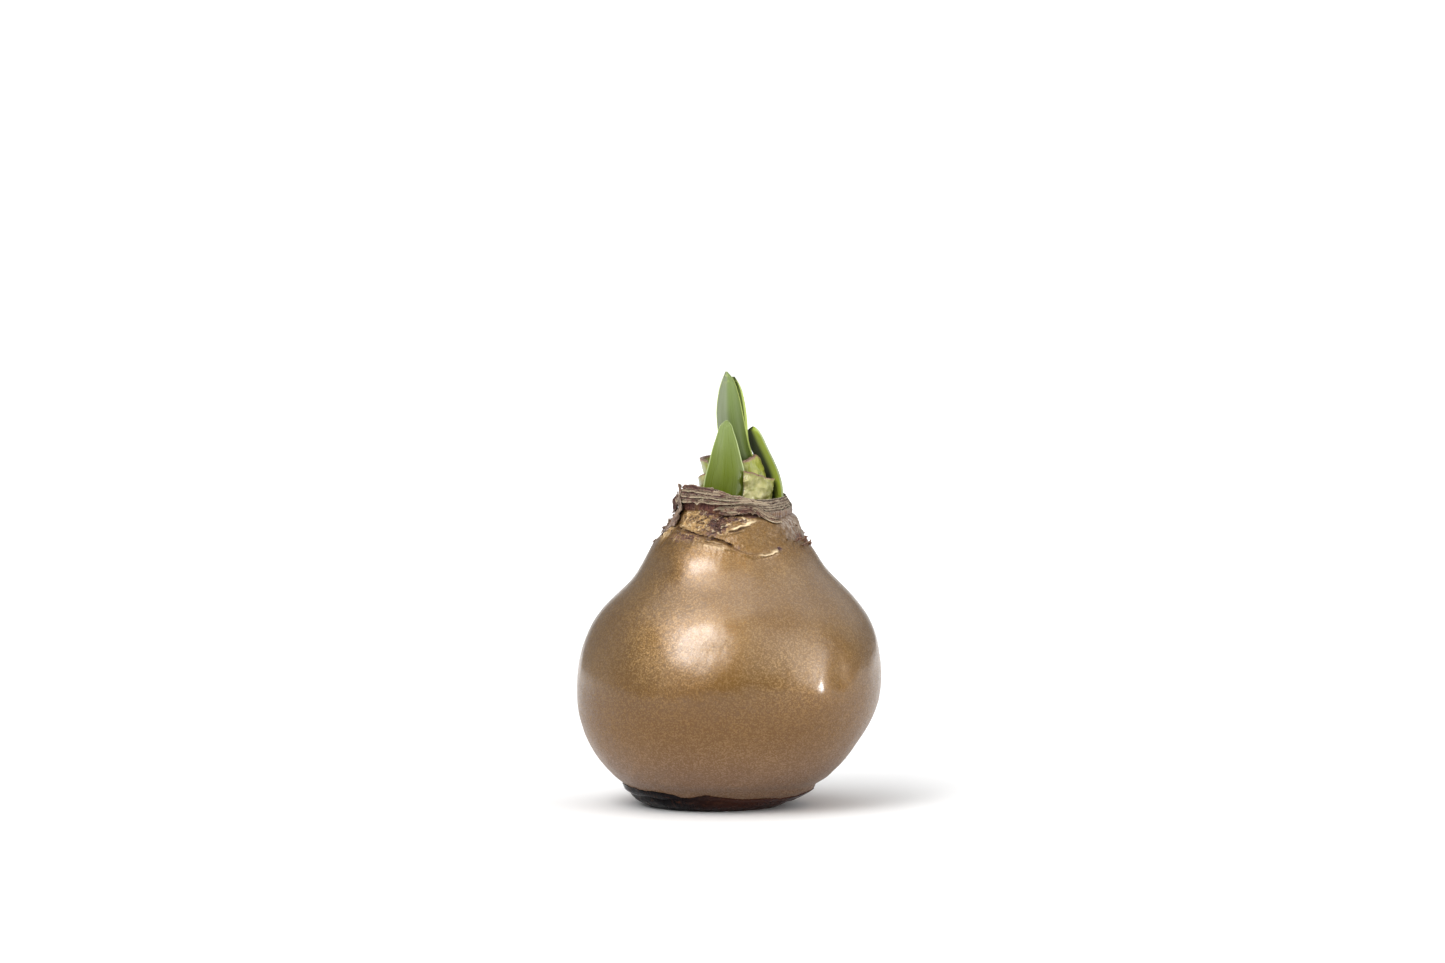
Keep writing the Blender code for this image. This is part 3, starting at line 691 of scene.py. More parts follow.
# Folds where the wax was drawn in towards the foot: angle, slant, height, half width and rise
FOOT_FOLDS = (
    (-139, 1.5, 12.5, 2.6, 0.75), (-128, 1.3, 10.0, 1.7, -0.6), (-119, 1.0, 9.0, 2.0, 0.55),
    (-98, 0.3, 9.0, 3.2, 0.4), (-76, -0.4, 9.0, 2.6, -0.25), (-40, -0.9, 9.5, 2.6, 0.3),
    (-12, -0.6, 8.5, 2.2, 0.35), (18, 0.6, 9.5, 2.6, -0.3), (52, 0.5, 10.0, 3.0, 0.35),
    (86, -0.4, 9.5, 2.4, -0.3), (121, 0.7, 10.0, 2.8, 0.35), (158, -0.6, 10.5, 2.6, 0.3),
)
# The small pit at the end of the rolled edge, painted dark as the shade in the hole: angle, height, half
# sizes along and up
PIT = (-52.3, 81.2, 0.75, 0.5)


def patches(theta, z, spots):
    """Soft patches on the neck, with uneven edges."""
    total = np.zeros(np.broadcast(theta, z).shape)
    uneven = 1 + 0.45 * smooth_noise(ring_points(NECK_ROUND, theta, z) * 0.35, 97)
    for *spot, share in spots:
        total = np.maximum(total, share * np.exp(-((away(theta, z, *spot) * uneven) ** 1.5)))
    return total


def scale_step(radius, theta, z, place):
    """The radius with the step where the lower dry scale ends under the wax, and where that is cracked."""
    above = z - LOWER_EDGE(theta)
    cracked, rolled = between(theta, -152, -87, 4), between(theta, -78, -50, 5)
    uneven = 0.75 + 0.45 * smooth_noise(place * 0.16, 3)
    lip = (0.34 + 0.42 * rolled) * uneven * np.exp(-(((above + 0.55) / (0.6 + 0.3 * rolled)) ** 2))
    shown = np.clip(0.45 + 0.9 * round_noise(theta, 1.6, 77), 0.12, 1.0)
    shown = np.maximum(shown, between(theta, -165, -52, 8)) * (1 - 0.7 * between(theta, -46, -8, 6))
    lip = lip * shown
    healed = np.exp(-np.clip(above, 0, None) / 3.6)
    step = shown * (0.34 + 0.25 * uneven) / (1 + np.exp(-above / 0.13)) * healed
    groove = shown * (0.22 + 0.3 * cracked) * uneven * np.exp(-(((above - 0.18) / 0.24) ** 2))
    crack = shown * (0.30 + 0.25 * cracked - 0.28 * rolled) * np.exp(-(((above - 0.16) / 0.18) ** 2))
    return radius + lip - step * (1 - 0.5 * rolled) - groove * (1 - rolled), crack


def cracks_and_ridges(radius, crack, theta, z):
    """The radius with the neck's cracks and ridges, where it is cracked, and where a highlight is painted
    along its ridges; its pit is painted dark as shade.
    """
    shaken = ring_points(NECK_ROUND, theta, z) * 0.75
    aside = theta + 0.3 / NECK_ROUND * layered_noise(shaken, 2, 82)
    over = z + 0.3 * layered_noise(shaken, 2, 85)
    rough = np.clip(0.9 + 0.7 * smooth_noise(shaken * 1.3, 88), 0.25, 1.5)
    for points, width, depth in CRACKS:
        mark = line_depth(aside, over, points, width) * rough
        radius = radius - depth * mark
        crack = np.maximum(crack, np.clip(1.4 * depth + 0.35, 0, 1) * np.clip(mark, 0, 1) ** 1.5)
    ridge_highlight = np.zeros(z.shape)
    for points, width, rise in RIDGES:
        mark = line_depth(aside, over, points, width, 0.3)
        radius = radius + rise * mark
        # Painted highlights along the raised ridges.
        ridge_highlight = np.maximum(ridge_highlight, ramp(rise, 0.4, 0.7) * np.clip(mark, 0, 1) ** 2)
    # The pit is deepened and painted dark, as the shade in the hole.
    pit = np.exp(-away(theta, z, *PIT))
    return radius - 0.9 * pit, np.maximum(crack, pit), ridge_highlight


def crumple(radius, crack, theta, z, place):
    """The radius with its crumpled foil, where it is cracked and where its fold valleys are darkened, partly
    as skin showing through and partly as painted shade, where it is crumpled, and where a highlight is
    painted on its crests.
    """
    crinkle = np.maximum(patches(theta, z, CRUMPLED), 0.16 * ramp(z, 76.0, 83.0))
    bent = place + 1.1 * np.stack([smooth_noise(place * 0.3, 20 + k) for k in range(3)], axis=-1)
    folds = creases(bent * (0.30, 0.30, 0.42), 4, 31)
    # The fold valleys are darkened: partly the dark skin through thin wax, partly painted shade in the
    # creases.
    crack = np.maximum(crack, 0.75 * ramp(crinkle, 0.3, 0.8) * ramp(folds, 0.36, 0.26))
    broken = ramp(layered_noise(place * 0.9, 2, 33), -0.05, 0.3)
    # A painted highlight on the crests of the folds.
    crest = ramp(crinkle, 0.35, 0.8) * ramp(folds, 0.55, 0.66) * broken
    return radius + 1.7 * crinkle * (folds - 0.45), crack, crinkle, crest


def wax_surface(theta, z):
    """The coat's outer radius with all its relief, and the values at its points that its paint uses."""
    theta, z = np.broadcast_arrays(theta, z)
    radius = smooth_radius(theta, z) + swell(theta, z)
    place = ring_points(radius, theta, z)
    radius, crack = scale_step(radius, theta, z, place)
    radius, crack, ridge_highlight = cracks_and_ridges(radius, crack, theta, z)
    radius, crack, crinkle, crest = crumple(radius, crack, theta, z, place)
    fibres = smooth_noise(ring_points(21, theta, z * 0.05), 41)
    fine = smooth_noise(ring_points(48, theta, z * 0.09), 42)
    radius = radius + (0.035 * fibres + 0.018 * fine) * ramp(z, 71.0, 83.0)
    radius = radius + 0.10 * layered_noise(place * 0.11, 3, 51) + 0.012 * smooth_noise(place * 0.55, 54)
    for *spot, rise in LUMPS:
        radius = radius + rise * np.exp(-away(theta, z, *spot, SHOULDER_ROUND))
    for degrees, slant, height, width, rise in FOOT_FOLDS:
        aside = turn_from(theta, degrees) * FOOT_ROUND - slant * (z - height)
        radius = radius + rise * np.exp(-((aside / width) ** 2)) * np.exp(-(((z - height) / 5.0) ** 2))
    thin, film = patches(theta, z, THIN_PATCHES), patches(theta, z, FILM_AND_SHEEN)
    crest = np.maximum(crest, ridge_highlight)
    return radius, dict(crack=np.clip(crack, 0, 1), crinkle=crinkle, thin=thin, film=film, crest=crest)


def neck_outside(theta, z):
    """What the loose skins lie on: the coat, which thins and turns in at its top, and then the wall."""
    upper = UPPER_EDGE(theta)
    radius, masks = wax_surface(theta, np.minimum(z, upper))
    under = np.clip(upper - z, 0.0, None)
    turned = np.clip(1 - under / 1.5, 0.0, 1.0) ** 2.4
    radius = toward(radius, four_way(NECK_WALL, theta) + WALL_STAND, turned)
    rolled = between(theta, -92, -62, 3)
    return radius + 0.15 * rolled * np.exp(-(((under - 0.75) / 0.5) ** 2)), masks


def foot_wave(theta):
    """How far the coat's wavy lower edge reaches down, as a share of the way to the flat patch."""
    wave = 0.06 * np.sin(13 * theta + 0.9) + 0.05 * np.sin(5 * theta + 2.2) + 0.03 * np.sin(8 * theta)
    return wave + 0.018 * np.sin(21 * theta + 1.1)


def low_ring(ring, theta, slide=0.0):
    """One of the rings at the foot: its radius and height, slid towards the flat patch."""
    radius = four_way(ring[0], theta) * (1 - slide) + four_way(FOOT_PATCH[0], theta) * slide
    return radius, four_way(ring[1], theta) * (1 - slide)


def wax_foot(theta):
    """The coat's surface at the foot: radius and height along a smooth curve through the model's rings."""
    knots = [low_ring(WAX_EDGE, theta, foot_wave(theta)), low_ring(WAX_LIP, theta)]
    knots.append(low_ring(WAX_NOTCH, theta))
    for z in (BODY_START, COAT_START, 14.0):
        knots.append((smooth_radius(theta, z), np.full(theta.shape, z)))
    at = [0.0, 0.22, 0.42, 0.64, 0.82, 1.0]
    share = np.linspace(0.0, 0.82, 20)
    stack = np.array(knots)[:, :, 0]
    radius, z = (
        np.stack([spline(at, stack[:, part, j])(share) for j in range(theta.shape[1])], axis=1)
        for part in range(2)
    )
    inside = np.clip(z, BODY_START, None)
    fade = ramp(z, 4.5, BODY_START + 1.5)
    return radius + (wax_surface(theta, inside)[0] - smooth_radius(theta, inside)) * fade, z


def wax_coat():
    """The coat of gold wax, from its wavy edge at the foot to its thin, uneven edge round the neck."""
    theta = full_turn(COLUMNS)
    lower, upper = LOWER_EDGE(theta), UPPER_EDGE(theta)
    foot_r, foot_z = wax_foot(theta)
    # The rows lie closer together above this line, just under the scale's edge
    fine = lower - 1.9
    high_z = np.concatenate([toward(COAT_START, fine, steps(72)[1:]), toward(fine, upper, steps(78)[1:])])
    high_r, masks = neck_outside(theta, high_z)
    inside_top, inside_foot = upper - 0.6, BODY_START + 0.5
    inner_z = np.concatenate([
        inside_top,
        toward(lower, inside_top, steps(6, 1.0, 0.0)[1:]),
        toward(inside_foot, lower, steps(10, 1.0, 0.0)[1:]),
    ])
    inner_r = smooth_radius(theta, inner_z) + swell(theta, inner_z) - WAX_THICKNESS
    wall = four_way(NECK_WALL, theta) + WALL_STAND - 0.2
    inner_r = np.minimum(inner_r, np.where(inner_z > upper - 1.7, wall, inner_r))
    edge_r, edge_z = low_ring(WAX_EDGE, theta, foot_wave(theta))
    edge = (edge_r - WAX_EDGE_THICKNESS, edge_z + WAX_EDGE_THICKNESS)
    radius, z = rings(theta, (foot_r, foot_z), (high_r, high_z), (inner_r, inner_z), edge)
    values = {key: np.zeros(radius.shape) for key in masks}
    for key, mask in masks.items():
        values[key][len(foot_r) : len(foot_r) + len(high_r)] = mask
    # The last ring joins the first, so that the section closes
    faces = grid_faces(len(radius) + 1, COLUMNS, True) % radius.size
    shape = Shape()
    shape.add(ring_points(radius, theta, z), faces, **values)
    shape.make("gold_wax_coat", gold_wax(), "gold_wax", ["wax_coat"])


def dark_wax():
    """Dark glossy sealing wax: nearly black on the left, browner to the right, with specks of gold."""
    p = Paint("dark_wax", IOR=1.2, Specular_IOR_Level=0.25)
    right = p.span(p.plus(p.axes()[0], p.times(p.noise(0.12, 3.0), 12.0)), -14.0, 12.0)
    speck = p.span(p.noise(0.8, 5.0, roughness=0.7), 0.64, 0.72)
    base = p.cover(
        p.mix(right, (0.003, 0.002, 0.003), (0.042, 0.013, 0.008)),
        (p.span(p.noise(0.5, 4.0, roughness=0.6), 0.5, 0.75), (0.055, 0.021, 0.012)),
        (p.times(speck, 0.45), (0.16, 0.08, 0.04)),
    )
    rough = p.span(p.noise(0.3, 3.0), 0.3, 0.7, 0.15, 0.35)
    return p.shine(Base_Color=base, Roughness=rough, Normal=p.bump(p.noise(0.3, 2.0), 0.2))


def dark_foot():
    """The dark wax that seals the root plate and makes the flat foot."""
    theta = full_turn(LAYER_COLUMNS)
    edge_r, edge_z = low_ring(WAX_EDGE, theta, foot_wave(theta))
    knots = (low_ring(FOOT_PATCH, theta), low_ring(FOOT_SIDE, theta), (edge_r - 0.75, edge_z))
    share = steps(26)
    weights = ((1 - share) * (1 - 2 * share), 4 * share * (1 - share), share * (2 * share - 1))
    radius, z = sum(np.array(knot) * weight for knot, weight in zip(knots, weights))
    place = ring_points(radius, theta, z)
    lumps = 0.9 * smooth_noise(place * (0.10, 0.10, 0.16), 61) + 0.15 * smooth_noise(place * 0.4, 62)
    radius = radius + lumps * 0.9 * np.sin(math.pi * share) ** 0.8
    z = np.clip(z, 0.0, None) * np.clip(share * 8, 0.0, 1.0)
    under_coat = (edge_r - 1.5, edge_z + WAX_EDGE_THICKNESS)
    radius, z = rings(theta, (radius, z), under_coat, (four_way(WAX_NOTCH[0], theta) - 3.6, FOOT_TOP))
    shape = Shape()
    tube(shape, ring_points(radius, theta, z))
    # The part of it that has run over the coat's lower edge
    coat = wax_foot(theta)
    rows = np.arange(len(coat[0]), dtype=float)
    ends = SEAL_LINE(theta) + 0.35 * round_noise(theta, 5.0, 91) + 0.18 * round_noise(theta, 16.0, 92)
    ends = ends + 0.1 * round_noise(theta, 40.0, 93)
    columns = range(LAYER_COLUMNS)
    reach = steps(18) * [[np.interp(ends[0, j], coat[1][:, j], rows) for j in columns]]
    over = [np.stack([np.interp(reach[:, j], rows, part[:, j]) for j in columns], axis=1) for part in coat]
    film = ring_points(over[0], theta, over[1])
    outward = np.cross(np.roll(film, -1, axis=1) - np.roll(film, 1, axis=1), np.gradient(film, axis=0))
    outward /= np.linalg.norm(outward, axis=-1, keepdims=True)
    sheet(shape, film + outward * 0.2, 0.35, wrap=True)
    shape.make("dark_foot_wax", dark_wax(), "dark_wax", ["dark_foot"], sharp=60)


def torn(theta, seed, depth=1.0):
    """How far a torn edge lies above or below its mean line."""
    edge = 0.65 * round_noise(theta, 2.2, seed) + 0.36 * round_noise(theta, 6.5, seed + 1)
    edge = edge + 0.17 * round_noise(theta, 19.0, seed + 2) + 0.08 * round_noise(theta, 44.0, seed + 3)
    draw = np.random.default_rng(seed)
    cuts = zip(draw.uniform(-180, 180, 14), draw.uniform(0.3, 1.7, 14), draw.uniform(0.8, 2.6, 14))
    for degrees, cut, width in cuts:
        edge = edge - cut * np.clip(1 - np.abs(np.degrees(turn_from(theta, degrees))) / width, 0.0, 1.0)
    return depth * edge


def skin_paint():
    """Dry papery skin: fibrous, streaked along its layers, purple-brown where fresh, with grey and gold,
    paler along its torn edges partly as a painted highlight, and with painted shade between and under its
    layers.
    """
    p = Paint("dry_scales", Specular_IOR_Level=0.3)
    tone, red, grey, gold, dark = (p.value(key) for key in ("tone", "red", "grey", "gold", "dark"))
    x, y, _ = p.axes()
    flow = p.point(x, y, p.value("level"))
    streak = p.noise(0.6, 6.0, stretch=(0.45, 0.45, 3.4), place=flow, roughness=0.68)
    fibre = p.noise(1.1, 4.0, stretch=(1.6, 1.6, 0.22), roughness=0.6)
    blot = p.noise(0.35, 5.0, roughness=0.65)
    mixed = p.plus(p.times(streak, 0.75), p.times(fibre, 0.25))
    mixed = p.plus(mixed, p.times(p.plus(tone, -0.5), 0.34))
    # Paler torn edges: partly wear, partly a painted highlight along them.
    worn_and_lit_edge = p.times(p.value("rim"), p.span(p.noise(0.9, 4.0, roughness=0.65), 0.38, 0.58, 0.15, 0.9))
    half = p.span(fibre, 0.35, 0.65)
    fresh = p.mix(half, (0.068, 0.018, 0.018), (0.205, 0.074, 0.050))
    film = p.mix(half, (0.085, 0.048, 0.045), (0.38, 0.31, 0.27))
    dust = p.times(gold, p.span(p.noise(0.9, 5.0, roughness=0.7), 0.42, 0.6))
    base = p.cover(
        p.mix(p.span(mixed, 0.40, 0.48), (0.022, 0.009, 0.009), (0.110, 0.060, 0.040)),
        (p.span(mixed, 0.50, 0.58), (0.290, 0.218, 0.145)),
        (p.span(blot, 0.5, 0.68, 0.0, 0.65), (0.135, 0.125, 0.068)),
        (p.span(p.noise(0.8, 3.0), 0.56, 0.70, 0.0, 0.8), (0.115, 0.034, 0.028)),
        (worn_and_lit_edge, (0.50, 0.42, 0.30)),
        (p.times(red, p.span(blot, 0.2, 0.7, 0.95, 0.6)), fresh),
        (p.times(grey, p.span(fibre, 0.25, 0.75, 0.75, 1.0)), film),
        (dust, (0.24, 0.130, 0.050)),
        # Painted shade down between the layers and under the strips, and a darker tone on the curl.
        (p.times(dark, 0.9), (0.020, 0.008, 0.008)),
    )
    normal = p.bump(p.plus(p.times(fibre, 0.4), p.times(streak, 0.6)), 0.45)
    rough = p.span(grey, 0.0, 1.0, 0.74, 0.45)
    return p.shine(Base_Color=base, Roughness=rough, Metallic=p.times(dust, 0.8), Normal=normal)


def neck_layer(shape, number):
    """One of the dry scales that end round the neck, as a thin torn sleeve. The first is the outermost."""
    theta = full_turn(LAYER_COLUMNS)
    first = number == 0
    rise = steps(30) if first else 1 - (1 - steps(10)) ** 1.5
    wall, mouth = four_way(NECK_WALL, theta), four_way(NECK_MOUTH, theta)
    room = (wall - mouth - 0.4) / (LAYERS - 1)
    outer_top, inner_top = OUTER_TOP(theta), INNER_TOP(theta)
    top = toward(outer_top, inner_top, (number / (LAYERS - 1)) ** 0.9)
    # On the right they end evenly, and two by two
    right = between(theta, -70, 25, 14)
    paired = toward(outer_top, inner_top, number // 2 * 0.2 + 0.05 * (number % 2))
    tear = torn(theta, 100 + 7 * number, 1.0 if number < 3 else 0.8) * (1 - 0.72 * right)
    top = toward(top, paired, right) + tear - 0.1
    start = UPPER_EDGE(theta) - 1.0 if first else LAYER_START
    z = toward(start, top, rise)
    radius = wall + 0.12 - room * number
    slack = np.clip(room / 0.55, 0.2, 1.0)
    radius = radius + slack * 0.22 * round_noise(theta, 4.0, 200 + number, z, 0.25)
    radius = radius + slack * 0.12 * round_noise(theta, 13.0, 230 + number, z, 0.5)
    lean = 0.5 * round_noise(theta, 3.0, 260 + number) + 0.3 * round_noise(theta, 9.0, 290 + number)
    radius = radius + slack * lean * np.clip((z - top + 2.2) / 2.2, 0.0, 1.0) ** 2
    tone = 0.5 + 0.3 * math.sin(2.4 * number) + 0.3 * round_noise(theta, 3.0, 320 + number)
    front, side = between(theta, -152, -62, 8), between(theta, -50, 0, 12)
    # Each inner layer is painted dark below its top edge: painted shade down between the layers.
    red, grey, gold, dark = 0.15 * front, 0.15 * side, 0.0, 0.9 * ramp(top - z, 0.15, 0.6)
    if first:
        folded = 0.25 + 0.35 * between(theta, -155, -58, 8)
        place = ring_points(radius, theta, z) * (0.32, 0.32, 0.4)
        radius = radius + folded * (creases(place, 4, 71) - 0.45)
        radius = radius + 0.25 * round_noise(theta, 7.0, 95, z, 0.12) * ramp(z, 91.5, 94.0)
        red = front * (0.9 * ramp(z, 95.6, 94.2))
        red = red + 0.35 * np.clip(round_noise(theta, 3.0, 98, z, 0.3), 0.0, 1.0)
        grey = 0.7 * side
        smear = ramp(z, 93.5, 91.5) + ramp(round_noise(theta, 4.0, 99, z, 0.15), 0.15, 0.5)
        gold = 0.55 * np.clip(smear, 0.0, 1.0)
        # Painted shadow under the strips at the front, on the outer layer's lower part.
        dark = 0.35 * between(theta, -104, -58, 6) * ramp(z, 93.2, 92.2)
    edge = np.clip(1 - (top - z) / 0.5, 0.0, 1.0)
    thickness = np.minimum(0.26, 0.6 * room) * (1 - 0.5 * rise)
    sheet(shape, ring_points(radius, theta, z), thickness, wrap=True, tone=tone, rim=edge, red=red,
          grey=grey, gold=gold, dark=dark, level=top - z + 5.3 * number)


def bulb_core(shape):
    """The bulb's fleshy body inside the coat, up to the crown that the shoots grow from."""
    theta = full_turn(160)
    shoulder = 80.0
    heights = steps(34, BODY_START, shoulder)
    inside = smooth_radius(theta, heights) + swell(theta, heights) - WAX_THICKNESS - GAP
    foot, last = inside[:1] - 3.0, inside[-1:]
    mouth = four_way(NECK_MOUTH, theta)
    up = steps(14)[1:]
    neck = (toward(last, mouth + 0.35, ramp(up, 0.0, 0.8)), toward(shoulder, CROWN_HEIGHT - 0.6, up))
    across = steps(22, 1.0, 0.0)[:-1]
    waves = 0.14 * np.sin(across * 24.0) * (1 - across) ** 0.3
    crown = (mouth * across, CROWN_HEIGHT + 0.5 * (1 - across**2) + waves)
    radius, z = rings(theta, (foot, FOOT_TOP + 0.3), (inside, heights), neck, crown)
    pale = np.full((len(radius), 1), 0.6)
    pale[-len(across) :] = 1.0
    tube(shape, ring_points(radius, theta, z), tone=pale, grey=0.0, level=z)


def bulb():
    """The bulb with the inner torn scales of its neck, and the outer dry skin round them."""
    paint = skin_paint()
    inner, outer = Shape(), Shape()
    bulb_core(inner)
    for number in range(LAYERS):
        neck_layer(outer if number < 4 else inner, number)
    inner.make("bulb_with_scales", paint, "bulb_scales", ["bulb"])
    outer.make("outer_skin_layers", paint, "dry_tunic", ["dry_outer_skin"])
    return paint


def part_way(low, high, share):
    """The line at a share of the way from one line to another."""
    return lambda angle: toward(low(angle), high(angle), share)


def strip(shape, degrees, low, high, stand, seed, size, thickness, ragged, wave, tone, ends=0.1, hidden=0.0,
          **values):
    """A torn strip of dry skin lying on the neck.

    degrees: its two ends, which may depend on the place up it, from 0 to 1. low, high: its edges, as lines.
    stand: how far its lower and its upper edge stand off, or a function of the places along and up it.
    ragged: how uneven its edges are. ends: the share of its length over which it narrows. wave: how much it
    undulates. hidden: how far up the next strip begins to cover it, if one does; a shadow is painted just
    below that line.
    """
    columns, rows = size
    along, up = steps(columns).T, steps(rows)
    start, end = (edge(up) if callable(edge) else edge for edge in degrees)
    angle = toward(start, end, along) + 0 * up
    theta = np.radians(angle)
    bottom, upper = (
        edge(angle) + ragged * (torn(theta, seed + more) + 0.2) for edge, more in ((low, 0), (high, 9))
    )
    middle = (bottom + upper) / 2
    taper = np.sqrt(np.clip(np.minimum(along, 1 - along) / ends, 0.03, 1.0))
    z = toward(middle, bottom, taper) + (upper - bottom) * taper * up
    lift = stand(along, up) if callable(stand) else toward(*stand, up)
    radius = neck_outside(theta, z)[0] + lift
    waves = round_noise(theta, 5.0, seed + 20, z, 0.3) + 0.5 * round_noise(theta, 14.0, seed + 21, z, 0.6)
    level = z - bottom
    radius = radius + wave * waves + 0.10 * round_noise(theta, 4.0, seed + 24, level, 2.2)
    margin = np.minimum(np.minimum(up, 1 - up) * rows, np.minimum(along, 1 - along) * columns)
    if hidden:
        # Painted shadow just below where the next strip covers this one.
        values["dark"] = 0.85 * np.exp(-(((up - hidden) / 0.1) ** 2)) + 0 * theta
    tone = tone + 0.25 * round_noise(theta, 4.0, seed + 30)
    sheet(shape, ring_points(radius + thickness, theta, z), thickness, tone=tone,
          rim=np.clip(1 - margin / 2.4, 0.0, 1.0), level=level + seed * 0.37, **values)


def chips(shape, places, seed):
    """Small torn flecks of skin on the neck: angle, height and length of each one."""
    draw = np.random.default_rng(seed)
    for number, (degrees, height, long) in enumerate(places):
        half, high = math.degrees(long / 2 / NECK_ROUND), 0.35 + 0.25 * long * draw.random()
        slant = draw.uniform(-0.5, 0.5) * long
        start, end = degrees - half, degrees + half
        low = line([(start, height - slant / 2), (end, height + slant / 2)])
        strip(shape, (start, end), low, lambda angle: low(angle) + high, (0.02, 0.2 + 0.4 * draw.random()),
              seed + 50 * number, size=(16, 8), thickness=0.14, ragged=0.3, ends=0.4, wave=0.2,
              tone=draw.uniform(0.1, 0.7), red=draw.uniform(0.2, 0.9), gold=draw.uniform(0.0, 0.4))


def front_strips(paint):
    """The layers that stand proud round the left front, and the strips that curl down to the right."""
    shape = Shape()
    low = line([(-170, 95.4), (-148, 95.1), (-119, 95.1), (-102, 94.8), (-89, 94.6), (-80, 95.0), (-69, 95.2),
                (-50, 94.5)])
    rim = line([(-170, 99.6), (-157, 99.9), (-123, 99.7), (-99, 98.5), (-79, 97.2), (-62, 96.4), (-50, 96.1)])
    # Where each of these layers ends at the right, and its tone
    layers = ((-52, 0.75), (-66, 0.15), (-58, 0.85), (-84, 0.1), (-70, 0.75), (-90, 0.3))
    for number, (end, tone) in enumerate(layers):
        below, above = number / len(layers), (number + 1.5) / len(layers)
        strip(shape, (-168 + 2.5 * number, end), part_way(low, rim, below), part_way(low, rim, above),
              (1.15 - 0.2 * number, 0.5 - 0.2 * number), 400 + 40 * number, size=(200, 12), thickness=0.26,
              ragged=0.5, ends=0.07, wave=0.32, tone=tone, hidden=0.55, red=0.45 * (number % 2))
    low = line([(-106, 92.2), (-98, 91.6), (-91, 91.4), (-84, 91.7), (-76, 92.1), (-66, 92.0), (-60, 90.9),
                (-54, 89.6), (-46, 88.9), (-40, 89.2)])
    high = line([(-106, 93.0), (-98, 93.9), (-90, 94.2), (-80, 94.5), (-70, 94.6), (-62, 93.6), (-55, 92.0),
                 (-46, 90.8), (-40, 90.3)])
    for below, above, ends, stand, tone, red, seed in (
        (0.0, 0.45, (-100, -56), (1.0, 0.7), 0.25, 0.5, 720),
        (0.15, 0.6, (-92, -41), (0.95, 0.45), 0.8, 0.0, 740),
        (0.4, 0.85, (-98, -44), (0.7, 0.3), 0.3, 0.4, 760),
        (0.6, 1.15, (-106, -38), (0.5, 0.0), 0.7, 0.0, 800),
    ):
        strip(shape, ends, part_way(low, high, below), part_way(low, high, above), stand, seed,
              size=(190, 12), thickness=0.24, ragged=0.38, wave=0.3, tone=tone, hidden=0.65, red=red,
              gold=0.1)
    chips(shape, ((-112, 91.0, 2.2), (-104, 89.4, 1.8), (-99, 90.4, 2.0), (-95, 88.4, 1.4), (-101, 87.2, 1.2),
                  (-92, 89.6, 1.6), (-117, 92.3, 1.6), (-87, 90.6, 1.8), (-131, 92.6, 1.8), (-79, 91.4, 1.6),
                  (-109, 86.6, 1.0), (-139, 86.0, 1.2), (-124, 84.4, 0.9), (-106, 83.9, 1.1)), 900)
    shape.make("skin_strips_front", paint, "dry_tunic", ["skin_strip_front"])


def flakes(shape, places, tilt, drop, stand, **values):
    """Small torn flakes: for each one the angles of its ends, the heights of its edges, and a seed."""
    for start, end, low, high, seed in places:
        strip(shape, (start, end), line([(start, low), (end, low + tilt)]),
              line([(start, high - drop), (end, high)]), stand, seed, **values)


